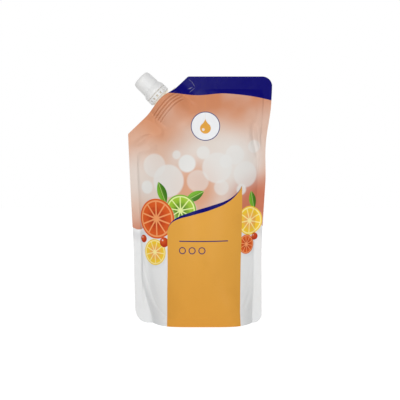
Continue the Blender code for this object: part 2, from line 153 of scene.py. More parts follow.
def belly(z):
    above_foot = np.clip(z, 0.0, BELLY_HEIGHT) / BELLY_HEIGHT
    low = BELLY_DEPTH - (BELLY_DEPTH - FOOT_DEPTH) * (1.0 - above_foot) ** 2
    seal_low = POUCH_HEIGHT - TOP_SEAL
    t = np.clip((z - BELLY_HEIGHT) / (seal_low - BELLY_HEIGHT), 0.0, 1.0)
    return np.where(z < BELLY_HEIGHT, low, BELLY_DEPTH * (1.0 - t**BELLY_SHOULDER) ** BELLY_TAPER)


def half_width(z):
    body_width = POUCH_WIDTH - 2 * SIDE_SEAL
    take_up = SIDE_TAKE_UP + FOOT_TAKE_UP * (squareness(z) - ROUND_POWER)
    return POUCH_WIDTH / 2 - take_up * belly(z) ** 2 / body_width


def bow(z):
    return SIDE_BOW * np.sin(math.pi * (BOW_START + BOW_SHARE * z / POUCH_HEIGHT))


def left_edge(z):
    return MIDDLE_X - half_width(z) - bow(z)


def right_dent(z):
    away = np.minimum(np.abs(z - RIGHT_DENT_HEIGHT) / RIGHT_DENT_REACH, 1.0)
    return RIGHT_DENT * (1.0 - smooth_step(away))


def right_edge(z):
    return MIDDLE_X + half_width(z) - bow(z) - right_dent(z)


SHOULDER_TOP = Vector((SHOULDER_TOP_X, 0.0, POUCH_HEIGHT))
SHOULDER_LOW_Z = POUCH_HEIGHT - SHOULDER_DROP
SHOULDER_LOW = Vector((float(left_edge(SHOULDER_LOW_Z)), 0.0, SHOULDER_LOW_Z))
SHOULDER_ALONG = (SHOULDER_TOP - SHOULDER_LOW).normalized()
SHOULDER_OUT = Vector((-SHOULDER_ALONG.z, 0.0, SHOULDER_ALONG.x))
SPOUT_TILT = math.atan2(SHOULDER_OUT.x, SHOULDER_OUT.z) - SPOUT_TURN
SPOUT_ALONG = Vector((math.cos(SPOUT_TILT), 0.0, -math.sin(SPOUT_TILT)))
SPOUT_OUT = Vector((math.sin(SPOUT_TILT), 0.0, math.cos(SPOUT_TILT)))
SPOUT_FOOT = SHOULDER_TOP - SHOULDER_ALONG * SPOUT_FROM_TOP + SHOULDER_OUT * SEAL_HUMP
SPOUT_FRAME = Matrix.Translation(SPOUT_FOOT) @ Matrix.Rotation(SPOUT_TILT, 4, "Y")


def top_edge(x):
    along = np.abs((x - SPOUT_FOOT.x) / SHOULDER_ALONG.x)
    hump = SEAL_HUMP * np.cos(math.pi / 2 * np.minimum(along / SEAL_HUMP_REACH, 1.0)) ** 2
    slope = SHOULDER_ALONG.z / SHOULDER_ALONG.x
    shoulder = POUCH_HEIGHT + (x - SHOULDER_TOP_X) * slope + hump / SHOULDER_OUT.z
    corner_start = float(right_edge(POUCH_HEIGHT)) - TOP_CORNER_RADIUS
    past = np.clip(x - corner_start, 0.0, TOP_CORNER_RADIUS)
    corner = POUCH_HEIGHT - TOP_CORNER_RADIUS + np.sqrt(TOP_CORNER_RADIUS**2 - past**2)
    return np.where(x < SHOULDER_TOP_X, shoulder, corner)


def foot_edge(x):
    past_left = float(left_edge(0.0)) + FOOT_CORNER_LEFT - x
    past_right = x - float(right_edge(0.0)) + FOOT_CORNER_RIGHT
    radius = np.where(x < MIDDLE_X, FOOT_CORNER_LEFT, FOOT_CORNER_RIGHT)
    past = np.clip(np.where(x < MIDDLE_X, past_left, past_right), 0.0, radius)
    return radius - np.sqrt(radius**2 - past**2)


# Thickness of the pouch

def rise(distance, width, power):
    t = np.clip(distance / width, 0.0, 1.0)
    return 1.0 - (1.0 - t) ** power


def wing(z, width):
    return width * (1.0 - smooth_step(z / WING_HEIGHT))


def seal_distances(x, z):
    """Distances inwards from the inner edges of the left, right and shoulder seals."""
    left = x - left_edge(z) - SIDE_SEAL - wing(z, WING_WIDTH_LEFT)
    right = right_edge(z) - SIDE_SEAL - wing(z, WING_WIDTH_RIGHT) - x
    from_edge = (SHOULDER_TOP.x - x) * SHOULDER_OUT.x + (SHOULDER_TOP.z - z) * SHOULDER_OUT.z
    return left, right, from_edge - SHOULDER_SEAL


def body_depth(x, z):
    left, right, shoulder = seal_distances(x, z)
    half = (left + right) / 2
    power = squareness(z)
    sides = rise(left, half, power) * rise(right, half, power)
    return belly(z) * sides * rise(shoulder, SHOULDER_BLEND, ROUND_POWER)


def spout_coordinates(x, z):
    """Along the shoulder from the spout's axis, and inwards from the film's edge."""
    dx, dz = x - SPOUT_FOOT.x, z - SPOUT_FOOT.z
    return dx * SPOUT_ALONG.x + dz * SPOUT_ALONG.z, -(dx * SPOUT_OUT.x + dz * SPOUT_OUT.z)


def boat_half(along):
    t = np.minimum(np.abs(along) / (BOAT_LENGTH / 2), 1.0)
    return BOAT_TIP / 2 + (BOAT_THICKNESS - BOAT_TIP) / 2 * (1.0 - t * t)


def pocket_depth(x, z):
    along, inwards = spout_coordinates(x, z)
    full = boat_half(along) + FIT_GAP + POCKET_WALL
    past_tip = 1.0 - smooth_step((np.abs(along) - BOAT_LENGTH / 2 - FIT_GAP) / SIDE_SEAL)
    past_base = 1.0 - smooth_step((inwards - BOAT_TOP - BOAT_HEIGHT - FIT_GAP) / POCKET_FADE)
    return full * past_tip * past_base


def smooth_depth(x, z):
    """Half depth of the pouch before any crease."""
    return FILM_THICKNESS / 2 + np.sqrt(body_depth(x, z) ** 2 + pocket_depth(x, z) ** 2)


def column_end(u, edge, z):
    """Height at which a column meets the film's top or foot edge."""
    for _ in range(EDGE_ROUNDS):
        z = edge(left_edge(z) + u * (right_edge(z) - left_edge(z)))
    return z


# Creases and puckers of the film

# Each crease has a curve of three places (x, z), its width and its height, in millimetres:
# above 0 it is a ridge, and below 0 a valley
FRONT_CREASES = [
    ("shoulder corner valley", (-62.8, 180.8), (-48.0, 182.2), (-33.9, 177.7), 3.0, -3.0),
    ("shoulder corner ridge", (-60.6, 165.5), (-53.0, 173.5), (-41.0, 181.2), 3.2, 2.2),
    ("shoulder slack", (-59.7, 164.4), (-50.0, 162.2), (-40.1, 166.0), 3.0, -1.8),
    ("left upper seam", (-59.6, 166.5), (-59.2, 150.0), (-58.0, 128.0), 0.8, -0.7),
    ("weld end tick", (-41.7, 192.5), (-42.5, 188.5), (-41.5, 185.0), 1.0, -0.5),
    ("weld end tick left", (-45.0, 189.0), (-46.2, 185.0), (-45.0, 181.0), 1.0, -0.4),
    ("under the band", (-20.0, 209.0), (-10.0, 204.0), (-6.0, 196.0), 4.0, -1.0),
    ("left wing fold", (-54.0, 85.0), (-53.2, 45.0), (-52.8, 10.0), 0.8, 0.8),
    ("left wing roll", (-51.5, 100.0), (-51.2, 60.0), (-52.0, 25.0), 3.0, 0.7),
    ("left foot curve", (-50.0, 70.0), (-48.0, 30.0), (-37.0, 15.0), 3.2, -1.0),
    ("right foot fold", (40.0, 14.0), (42.5, 21.0), (47.3, 31.0), 1.4, -0.9),
    ("right side fold", (56.0, 90.0), (55.5, 50.0), (56.0, 18.0), 1.2, -0.6),
    ("right dent", (50.0, 190.0), (47.8, 176.0), (54.5, 156.0), 2.4, -2.5),
    ("right dent ridge", (55.0, 185.0), (53.5, 174.0), (57.0, 163.0), 1.8, 1.4),
    ("right upper fold", (56.0, 208.0), (54.0, 198.0), (52.0, 186.0), 1.8, -0.6),
]
BACK_CREASES = [
    ("left wing fold", (-53.0, 120.0), (-52.0, 70.0), (-53.0, 18.0), 1.8, -0.6),
    ("right wing fold", (49.0, 150.0), (47.0, 80.0), (47.0, 20.0), 2.2, -0.6),
    ("foot bulge left", (-48.0, 50.0), (-45.0, 32.0), (-36.0, 18.0), 2.2, -0.9),
    ("foot bulge right", (50.0, 46.0), (46.0, 28.0), (38.0, 16.0), 2.2, -0.9),
    ("middle dent", (-10.0, 190.0), (12.0, 182.0), (30.0, 188.0), 5.0, -0.9),
    ("shoulder pull", (-25.0, 188.0), (-18.0, 170.0), (-18.0, 150.0), 5.0, 0.7),
]
CREASE_STEPS = 14
CREASE_FADE_POWER = 0.7
SEAM_FOOT = 0.006
SEAM_RISE = 0.119
SEAM_POWER = 4.9
SEAM_REACH = 0.060
SEAM_WIDTH = 0.0007
SEAM_DEPTH = 0.00025
SEAM_END_SHARE = 0.1
PUCKER_HEIGHT = 0.0011
PUCKER_SPACING = 0.013
PUCKER_LENGTH = 0.03
PUCKER_END = 0.05
PUCKER_START = 0.004
PUCKER_REACH = 0.011
TOP_PUCKER_HEIGHT = 0.0009
TOP_PUCKER_SPACING = 0.011
TOP_PUCKER_LENGTH = 0.04
TOP_PUCKER_END = 0.06
TOP_PUCKER_START = 0.006
TOP_PUCKER_REACH = 0.012
SHOULDER_PUCKER_START = 0.010
SWELL_HEIGHT = 0.0008
SWELL_SIZE = 0.034
SWELL_FOOT = 0.004
SWELL_FADE = 0.02
SWELL_SIDE_FADE = 0.01
PINCH_HEIGHT = 0.0019
PINCH_UNEVEN = 1.1
PINCH_SIZE = 0.030
PINCH_START = 0.0012
PINCH_REACH = 0.0080
PINCH_OUT = 0.0009
PINCH_TOP_FADE = 0.012
PINCH_FOOT_FADE = 0.02

# Grooves pressed over the weld base: they bow round the spout's foot
WELD_GROOVE_DEPTH = 0.00045
WELD_GROOVE_BUMP = 0.0002
WELD_GROOVE_WIDTH = 0.0013
WELD_GROOVE_STEEPNESS = 1.1
WELD_GROOVE_FIRST = 0.0044
WELD_GROOVE_SPACING = 0.0029
WELD_GROOVES = 4
WELD_MIDDLE = 0.0020
WELD_REACH_LEFT = 0.0210
WELD_REACH_RIGHT = 0.0140
WELD_FADE_LEFT = 0.003
WELD_FADE_RIGHT = 0.004
WELD_SIDE_FADE = 0.1
WELD_BEND_LEFT = 4.5
WELD_BEND_RIGHT = 16.0


def noise_at(a, b, seed):
    """Smooth noise from -1 to 1 over two arrays."""
    flat = [noise.noise(Vector((p, q, seed))) for p, q in zip(a.ravel(), b.ravel())]
    return np.array(flat).reshape(a.shape)


def crease_relief(x, z, creases):
    """Height that the listed creases add. Each fades out towards both of its ends."""
    total = np.zeros_like(x)
    for _, *places, width, height in creases:
        first, middle, last = np.array(places) / 1000
        before = first
        nearest = np.full_like(x, np.inf)
        passed = np.zeros_like(x)
        for k in range(CREASE_STEPS):
            t = (k + 1) / CREASE_STEPS
            here = (1 - t) ** 2 * first + 2 * t * (1 - t) * middle + t * t * last
            ax, az = here - before
            dx, dz = x - before[0], z - before[1]
            share = np.clip((dx * ax + dz * az) / (ax * ax + az * az), 0.0, 1.0)
            away = np.hypot(dx - share * ax, dz - share * az)
            closer = away < nearest
            nearest = np.where(closer, away, nearest)
            passed = np.where(closer, (k + share) / CREASE_STEPS, passed)
            before = here
        fade = np.sin(math.pi * np.clip(passed, 0.0, 1.0)) ** CREASE_FADE_POWER
        total += height / 1000 * fade * np.exp(-((nearest / (width / 1000)) ** 2))
    return total


def pinch_relief(x, z):
    """How steeply the film leaves the side seals, beyond the smooth bulge of the body."""
    left, right, shoulder = seal_distances(x, z)
    total = np.zeros_like(x)
    for distance, seed in ((left, 2.3), (right + right_dent(z), 7.7)):
        inside = np.maximum(distance + PINCH_OUT, 0.0)
        steep = (1.0 - np.exp(-inside / PINCH_START)) * np.exp(-inside / PINCH_REACH)
        uneven = 1.0 + PINCH_UNEVEN * noise_at(z / PINCH_SIZE, np.full_like(z, 0.5), seed)
        total += PINCH_HEIGHT * uneven * steep * smooth_step(shoulder / PINCH_TOP_FADE)
    top = smooth_step((POUCH_HEIGHT - TOP_SEAL - z) / PINCH_TOP_FADE)
    return total * top * smooth_step(z / PINCH_FOOT_FADE)


def seam_relief(x, z):
    """The edge of the curved seal that joins the gusset to the front and back films."""
    span = np.abs(x - MIDDLE_X + SIDE_BOW) / SEAM_REACH
    seam = SEAM_FOOT + SEAM_RISE * np.minimum(span, 1.0) ** SEAM_POWER
    steep = SEAM_RISE * SEAM_POWER * np.minimum(span, 1.0) ** (SEAM_POWER - 1) / SEAM_REACH
    away = (z - seam) / np.sqrt(1.0 + steep * steep)
    inside = smooth_step((1.0 - span) / SEAM_END_SHARE)
    return -SEAM_DEPTH * np.exp(-((away / SEAM_WIDTH) ** 2)) * inside


def groove_relief(x, z):
    """The grooves of the weld over the spout's base."""
    along, inwards = spout_coordinates(x, z)
    past = along - WELD_MIDDLE
    bend = np.where(past > 0.0, WELD_BEND_RIGHT, WELD_BEND_LEFT)
    share = (inwards - bend * past * past - WELD_GROOVE_FIRST) / WELD_GROOVE_SPACING
    half = WELD_GROOVE_WIDTH / 2 / WELD_GROOVE_SPACING
    away = np.abs(share - np.round(share))
    line = smooth_step(WELD_GROOVE_STEEPNESS * (1.0 - away / half))
    inside = smooth_step((share + 0.5) / WELD_SIDE_FADE)
    inside *= smooth_step((WELD_GROOVES - 0.5 - share) / WELD_SIDE_FADE)
    ends = smooth_step((past + WELD_REACH_LEFT) / WELD_FADE_LEFT)
    ends *= smooth_step((WELD_REACH_RIGHT - past) / WELD_FADE_RIGHT)
    return -WELD_GROOVE_DEPTH * line * inside * ends


def pucker_relief(x, z, seed):
    """Short folds that run in from the side seals and down from the top seal."""
    left, right, shoulder = seal_distances(x, z)
    top = POUCH_HEIGHT - TOP_SEAL - z
    total = np.zeros_like(x)
    for distance, offset in ((left, 3.7), (right, 9.1)):
        inwards = np.clip(distance, 0.0, PUCKER_END) / PUCKER_LENGTH
        wave = noise_at(z / PUCKER_SPACING, inwards, seed + offset)
        start = smooth_step(distance / PUCKER_START)
        total += PUCKER_HEIGHT * wave * start * np.exp(-np.maximum(distance, 0.0) / PUCKER_REACH)
    downwards = np.clip(top, 0.0, TOP_PUCKER_END) / TOP_PUCKER_LENGTH
    wave = noise_at(x / TOP_PUCKER_SPACING, downwards, seed + 5.3)
    start = smooth_step(top / TOP_PUCKER_START) * smooth_step(shoulder / SHOULDER_PUCKER_START)
    total += TOP_PUCKER_HEIGHT * wave * start * np.exp(-np.maximum(top, 0.0) / TOP_PUCKER_REACH)
    inside = smooth_step(left / SWELL_SIDE_FADE) * smooth_step(right / SWELL_SIDE_FADE)
    inside *= smooth_step(top / SWELL_FADE)
    inside *= smooth_step((z - SWELL_FOOT) / SWELL_FADE)
    total += SWELL_HEIGHT * noise_at(x / SWELL_SIZE, z / SWELL_SIZE, seed + 1.9) * inside
    return total


def film_depth(x, z, creases, seed):
    """How far the front or back film stands out from the seal plane."""
    relief = crease_relief(x, z, creases) + pucker_relief(x, z, seed)
    depth = smooth_depth(x, z) + seam_relief(x, z) + groove_relief(x, z)
    return np.maximum(depth + pinch_relief(x, z) + relief, FILM_THICKNESS / 2)


# Mesh of the film

def shares(count, closeness_at):
    """Places from 0 to 1 in count steps, closer together where closeness_at is high."""
    fine = np.linspace(0.0, 1.0, SHARES_FINENESS * count + 1)
    passed = np.concatenate([[0.0], np.cumsum(closeness_at(fine)[1:])])
    return np.interp(np.linspace(0.0, passed[-1], count + 1), passed, fine)


def column_closeness(fine):
    """Columns lie closer together over the edges of the side seals and over the weld grooves."""
    closeness = np.ones_like(fine)
    for place, reach in (SEAL_COLUMNS_LEFT, SEAL_COLUMNS_RIGHT):
        closeness += SEAL_COLUMNS_CLOSER * np.exp(-(((fine - place) / reach) ** 2))
    middle, reach = WELD_COLUMNS
    edge = (reach - np.abs(fine - middle)) / CLOSER_FADE
    return closeness + WELD_COLUMNS_CLOSER * smooth_step(edge)


def row_closeness(fine):
    """Rows lie closer together at the height of the weld grooves."""
    return 1.0 + WELD_ROWS_CLOSER * smooth_step((fine - WELD_ROWS_START) / CLOSER_FADE)


def grid_places():
    """x and z of the film's grid points: columns from left to right, rows from the foot up."""
    u = shares(FILM_COLUMNS, column_closeness)
    low = column_end(u, foot_edge, np.zeros_like(u))
    high = column_end(u, top_edge, np.full_like(u, POUCH_HEIGHT))
    v = shares(FILM_ROWS, row_closeness)
    z = low[:, None] + (high - low)[:, None] * v[None, :]
    x = left_edge(z) + u[:, None] * (right_edge(z) - left_edge(z))
    return x, z


def flat_across(x, z):
    """Distance from the middle along the film, which is longer than x where the film bulges."""
    total = np.zeros_like(x)
    for t in (np.arange(ARC_STEPS) + 0.5) / ARC_STEPS:
        ahead, behind = body_depth(x * t + SLOPE_STEP, z), body_depth(x * t - SLOPE_STEP, z)
        slope = (ahead - behind) / (2 * SLOPE_STEP)
        total += np.sqrt(1.0 + slope * slope)
    return x * total / ARC_STEPS


def gusset_section(x):
    """Points of the gusset under each column: up the front skirt, over, and down the back skirt."""
    floor_left = float(left_edge(0.0)) + SIDE_SEAL + WING_WIDTH_LEFT
    floor_right = float(right_edge(0.0)) - SIDE_SEAL - WING_WIDTH_RIGHT
    middle, half = (floor_left + floor_right) / 2, (floor_right - floor_left) / 2
    span = np.abs(x - middle) / half
    is_open = smooth_step((GUSSET_SPAN - span) / GUSSET_END)
    roof = (GUSSET_FLOOR + GUSSET_RISE * np.minimum(span, 1.0) ** GUSSET_ROOF_POWER) * is_open
    points = []
    for k in range(1, GUSSET_WALL_STEPS + 1):
        z = roof * k / GUSSET_WALL_STEPS
        points.append((-(smooth_depth(x, z) - FILM_THICKNESS) * is_open, z))
    width = (smooth_depth(x, roof) - FILM_THICKNESS) * is_open
    for k in range(1, GUSSET_ARCH_STEPS):
        turn = math.pi * k / GUSSET_ARCH_STEPS
        points.append((-width * math.cos(turn), roof * (1.0 + GUSSET_CROWN * math.sin(turn))))
    back = [(-y, z) for y, z in reversed(points[:GUSSET_WALL_STEPS])]
    return points + back


def mouth_section(x, z):
    """Points of the pocket's mouth over the weld base, from the back film to the front."""
    depth = smooth_depth(x, z)
    is_open = smooth_step((depth - MOUTH_LEAST) / MOUTH_LEAST)
    edge_width = FILM_THICKNESS / 4 * (1.0 - is_open)
    low_x = x - SPOUT_OUT.x * MOUTH_DEPTH * is_open
    low_z = z - SPOUT_OUT.z * MOUTH_DEPTH * is_open
    width = (depth - FILM_THICKNESS) * is_open + edge_width
    low_width = (smooth_depth(low_x, low_z) - FILM_THICKNESS) * is_open + edge_width / 2
    return [(x, width, z), (low_x, low_width, low_z), (low_x, -low_width, low_z), (x, -width, z)]


def build_film():
    """One closed mesh: front film, back film, thin seal edges, gusset and pocket's mouth."""
    x, z = grid_places()
    front = -film_depth(x, z, FRONT_CREASES, 0.0)
    back = film_depth(x, z, BACK_CREASES, 40.0)
    across = flat_across(x, z)
    foot_x, foot_z = x[:, 0], z[:, 0]
    gusset = gusset_section(foot_x)
    mouth = mouth_section(x[:, -1], z[:, -1])
    has_mouth = smooth_depth(x[:, -1], z[:, -1]) > MOUTH_LEAST
    columns = FILM_COLUMNS + 1
    points, flats = [], []
    for i in range(columns):
        ring = [(x[i, j], front[i, j], z[i, j], across[i, j]) for j in range(FILM_ROWS, -1, -1)]
        ring += [(foot_x[i], y[i], foot_z[i] + h[i], across[i, 0]) for y, h in gusset]
        ring += [(x[i, j], back[i, j], z[i, j], across[i, j]) for j in range(FILM_ROWS + 1)]
        ring += [(a[i], b[i], c[i], across[i, -1]) for a, b, c in mouth]
        points += [(a, b, c) for a, b, c, _ in ring]
        flats += [(d, c) for _, _, c, d in ring]
    per_ring = len(points) // columns
    faces, slots = [], []
    gusset_start, gusset_end = FILM_ROWS, FILM_ROWS + len(gusset) + 1
    mouth_start = gusset_end + FILM_ROWS
    for i in range(columns - 1):
        a, b = i * per_ring, (i + 1) * per_ring
        for j in range(per_ring):
            k = (j + 1) % per_ring
            faces.append((a + j, a + k, b + k, b + j))
            in_gusset = gusset_start <= j < gusset_end
            in_mouth = mouth_start < j < per_ring - 1 and has_mouth[i]
            plain = FRONT_SLOT if j < gusset_start else BACK_SLOT
            slots.append(GUSSET_SLOT if in_gusset or in_mouth else plain)
    for start in (0, (columns - 1) * per_ring):
        for j in range(FILM_ROWS):
            k = start + mouth_start - j
            faces.append((start + j, start + j + 1, k - 1, k))
        faces.append(tuple(range(start + gusset_start, start + gusset_end + 1)))
        mouth_edge = range(start + mouth_start + 1, start + per_ring)
        faces.append((start, start + mouth_start, *mouth_edge))
        slots += [FRONT_SLOT] * FILM_ROWS + [GUSSET_SLOT, GUSSET_SLOT]
    mesh = bpy.data.meshes.new("pouch_film")
    mesh.from_pydata(points, [], faces)
    layer = mesh.uv_layers.new(name="flat_film")
    corners = np.array([loop.vertex_index for loop in mesh.loops])
    layer.data.foreach_set("uv", np.array(flats)[corners].ravel())
    mesh.polygons.foreach_set("material_index", slots)
    return mesh


def clean_and_face_outwards(mesh):
    """Joins points that coincide, which drops faces without area, and turns the faces outwards."""
    work = bmesh.new()
    work.from_mesh(mesh)
    bmesh.ops.remove_doubles(work, verts=work.verts, dist=MERGE_DISTANCE)
    bmesh.ops.recalc_face_normals(work, faces=work.faces)
    work.to_mesh(mesh)
    work.free()


def shade(mesh, sharp):
    mesh.shade_smooth()
    mesh.set_sharp_from_angle(angle=sharp)
    return mesh


def add_object(name, data):
    made = bpy.data.objects.new(name, data)
    bpy.context.scene.collection.objects.link(made)
    return made


def add_piece(name, mesh, body, *materials):
    """A piece of the object that rides on a body."""
    piece = add_object(name, mesh)
    for material in materials:
        mesh.materials.append(material)
    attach(piece, body)
    return piece


# Spout, ring and cap: turned shapes in the spout's frame, with its axis along Z

NECK_RADIUS = 0.0064
BORE_RADIUS = 0.0049
NECK_TOP = 0.0255
FLANGE_RADIUS = 0.0096
FLANGE_BOTTOM = 0.0003
FLANGE_TOP = 0.0011
BEAD_RADIUS = 0.0083
BEAD_BOTTOM = 0.0044
BEAD_TOP = 0.0054
BEAD_SLOPE = 0.0006
NECK_FLOOR = 0.0010
THREAD_LEAD = 0.0060
THREAD_STARTS = 2
THREAD_START = math.radians(4.3)
THREAD_ROOT_WIDTH = 0.0014
THREAD_CREST_WIDTH = 0.0007
THREAD_FADE = math.radians(30)
THREAD_HEIGHT = 0.0009
NECK_THREAD_LOW = 0.0085
NECK_THREAD_TURN = math.radians(540)
NECK_THREAD_FREE = 0.0010
CAP_THREAD_LOW = 0.0105
CAP_THREAD_TURN = math.radians(270)
RING_RADIUS = 0.01085
RING_BOTTOM = 0.0014
RING_TOP = 0.0062
RING_WALL = 0.0014
RING_LIP_RADIUS = 0.0068
RING_LIP_TOP = 0.0021
RING_FOOT_BEVEL = 0.0006
RING_EDGE_BEVEL = 0.00014
WINDOW_COUNT = 15
WINDOW_WIDTH = 0.0019
WINDOW_LOW = 0.0024
WINDOW_HIGH = 0.0047
WINDOW_STEPS = 6
BRIDGE_WIDTH = 0.0007
BRIDGE_TOP = 0.0066
BRIDGE_SUNK = 0.0006
BRIDGE_DEPTH_SHARE = 0.6
CAP_BOTTOM = 0.0069
CAP_CONE_LOW = 0.0095
CAP_GRIP_LOW = 0.0135
CAP_TOP = 0.0272
CAP_INSIDE_TOP = 0.0258
CAP_INSIDE_FILLET = 0.0004
CAP_GRIP_LOW_RADIUS = 0.0093
CAP_GRIP_TOP_RADIUS = 0.0087
CAP_STEP = 0.0003
CAP_TOP_ROUND = 0.0030
CAP_WALL = 0.0013
CAP_BORE_RADIUS = 0.0077
CAP_DISH = 0.0003
CAP_DISH_RADIUS = 0.0050
GATE_RADIUS = 0.0008
GRIP_RIB_COUNT = 36
GRIP_RIB_DEPTH = 0.00010
GRIP_RIB_FADE = 0.0008
TURN_STEPS = 216
CAP_PROFILE_STEP = 0.0003
NECK_STEP = 0.00022
COARSE_STEP = 0.0015
FILLET_STEPS = 5
RADIUS_SLACK = 0.00001


def rounded_profile(corners, finest, fine_from=0.0):
    """Points of a profile of (radius, height, fillet) corners.

    No step is longer than finest where the radius is at least fine_from.
    """
    rough = []
    for i, (radius, height, fillet) in enumerate(corners):
        corner = Vector((radius, height))
        if fillet == 0.0:
            rough.append(corner)
            continue
        before = Vector(corners[i - 1][:2]) - corner
        after = Vector(corners[(i + 1) % len(corners)][:2]) - corner
        start = corner + before.normalized() * fillet
        end = corner + after.normalized() * fillet
        for k in range(FILLET_STEPS + 1):
            t = k / FILLET_STEPS
            rough.append(start * (1 - t) ** 2 + corner * 2 * t * (1 - t) + end * t * t)
    points = [rough[0]]
    for point in rough[1:]:
        last = points[-1]
        longest = finest if last.x >= fine_from else COARSE_STEP
        parts = max(1, math.ceil((point - last).length / longest))
        points += [last.lerp(point, k / parts) for k in range(1, parts + 1)]
    return np.array([tuple(q) for q in points])


def thread_ridge(height, turn, low, length):
    """1 on the crest of the nearest thread ridge, 0 between the ridges."""
    total = np.zeros(np.broadcast(height, turn).shape)
    for start in range(THREAD_STARTS):
        begin = THREAD_START + 2 * math.pi * start / THREAD_STARTS
        share = np.mod(turn - begin, 2 * math.pi) / (2 * math.pi)
        turns = np.round((height - low) / THREAD_LEAD - share)
        along = 2 * math.pi * (share + turns)
        away = np.abs(height - low - THREAD_LEAD * (share + turns))
        slope = (THREAD_ROOT_WIDTH - THREAD_CREST_WIDTH) / 2
        flank = np.clip((THREAD_ROOT_WIDTH / 2 - away) / slope, 0.0, 1.0)
        full = smooth_step(np.minimum(along, length - along) / THREAD_FADE)
        total = np.maximum(total, flank * full)
    return total


def turned_mesh(name, profile, relief):
    """Turns a profile that starts and ends on the axis.

    relief(radius, height, turn) is added to the radius.
    """
    turn = np.linspace(0.0, 2 * math.pi, TURN_STEPS, endpoint=False)
    radius, height = profile[1:-1, 0][:, None], profile[1:-1, 1][:, None]
    out = radius + relief(radius, height, turn[None, :])
    rows = len(out)
    level = np.broadcast_to(height, out.shape)
    places = np.stack([out * np.cos(turn), out * np.sin(turn), level], axis=-1)
    points = [(0.0, 0.0, profile[0, 1]), *map(tuple, places.reshape(-1, 3))]
    points.append((0.0, 0.0, profile[-1, 1]))
    last = len(points) - 1
    faces = []
    for i in range(TURN_STEPS):
        j = (i + 1) % TURN_STEPS
        faces.append((0, 1 + i, 1 + j))
        for k in range(rows - 1):
            a, b = 1 + k * TURN_STEPS, 1 + (k + 1) * TURN_STEPS
            faces.append((a + i, b + i, b + j, a + j))
        a = 1 + (rows - 1) * TURN_STEPS
        faces.append((last, a + j, a + i))
    mesh = bpy.data.meshes.new(name)
    mesh.from_pydata(points, [], faces)
    mesh.transform(SPOUT_FRAME)
    clean_and_face_outwards(mesh)
    return shade(mesh, TURNED_SHARP)


def moulded_mesh(name, work):
    """The mesh of a shape that was worked in the spout's frame."""
    mesh = bpy.data.meshes.new(name)
    work.to_mesh(mesh)
    work.free()
    mesh.transform(SPOUT_FRAME)
    return shade(mesh, MOULDED_SHARP)


def cap_mesh():
    corners = [
        (0.0, CAP_TOP - CAP_DISH / 3, 0.0),
        (GATE_RADIUS, CAP_TOP - CAP_DISH / 3, 0.0001),
        (GATE_RADIUS, CAP_TOP - CAP_DISH, 0.0001),
        (CAP_DISH_RADIUS, CAP_TOP - CAP_DISH, 0.0003),
        (CAP_DISH_RADIUS + CAP_DISH, CAP_TOP, 0.0002),
        (CAP_GRIP_TOP_RADIUS, CAP_TOP, CAP_TOP_ROUND),
        (CAP_GRIP_LOW_RADIUS, CAP_GRIP_LOW, 0.0003),
        (CAP_GRIP_LOW_RADIUS - CAP_STEP, CAP_GRIP_LOW, 0.0001),
        (RING_RADIUS, CAP_CONE_LOW, 0.0005),
        (RING_RADIUS, CAP_BOTTOM, 0.0003),
        (RING_RADIUS - CAP_WALL, CAP_BOTTOM, 0.0003),
        (RING_RADIUS - CAP_WALL, CAP_CONE_LOW, 0.0003),
        (CAP_BORE_RADIUS, CAP_GRIP_LOW - CAP_WALL, 0.0003),
        (CAP_BORE_RADIUS, CAP_INSIDE_TOP, CAP_INSIDE_FILLET),
        (0.0, CAP_INSIDE_TOP, 0.0),
    ]

    def relief(radius, height, turn):
        outside = radius > CAP_GRIP_TOP_RADIUS - 10 * RADIUS_SLACK
        share = smooth_step((height - CAP_GRIP_LOW - CAP_STEP) / GRIP_RIB_FADE)
        share = share * smooth_step((CAP_TOP - CAP_TOP_ROUND - height) / GRIP_RIB_FADE + 1.0)
        rib = 0.5 + 0.5 * np.cos(GRIP_RIB_COUNT * turn)
        inside = radius <= CAP_BORE_RADIUS + RADIUS_SLACK
        inside = inside & (height < CAP_INSIDE_TOP - CAP_INSIDE_FILLET)
        thread = thread_ridge(height, turn, CAP_THREAD_LOW, CAP_THREAD_TURN)
        thread = np.where(inside, -THREAD_HEIGHT * thread, 0.0)
        return np.where(outside, GRIP_RIB_DEPTH * rib * share, thread)

    return turned_mesh("cap", rounded_profile(corners, CAP_PROFILE_STEP), relief)


def neck_mesh():
    low = -BOAT_TOP - BOAT_HEIGHT
    corners = [
        (0.0, low, 0.0),
        (NECK_RADIUS, low, 0.0003),
        (NECK_RADIUS, FLANGE_BOTTOM, 0.0001),
        (FLANGE_RADIUS, FLANGE_BOTTOM, 0.0003),
        (FLANGE_RADIUS, FLANGE_TOP, 0.0003),
        (NECK_RADIUS, FLANGE_TOP, 0.0003),
        (NECK_RADIUS, BEAD_BOTTOM, 0.0002),
        (BEAD_RADIUS, BEAD_BOTTOM, 0.0002),
        (BEAD_RADIUS, BEAD_TOP, 0.0003),
        (NECK_RADIUS, BEAD_TOP + BEAD_SLOPE, 0.0003),
        (NECK_RADIUS, NECK_TOP, 0.0003),
        (BORE_RADIUS, NECK_TOP, 0.0003),
        (BORE_RADIUS, low + NECK_FLOOR, 0.0003),
        (0.0, low + NECK_FLOOR, 0.0),
    ]

    def relief(radius, height, turn):
        outside = np.abs(radius - NECK_RADIUS) < 2 * RADIUS_SLACK
        outside = outside & (height > BEAD_TOP + NECK_THREAD_FREE)
        thread = thread_ridge(height, turn, NECK_THREAD_LOW, NECK_THREAD_TURN)
        return np.where(outside, THREAD_HEIGHT * thread, 0.0)

    profile = rounded_profile(corners, NECK_STEP, NECK_RADIUS - RADIUS_SLACK)
    return turned_mesh("neck", profile, relief)


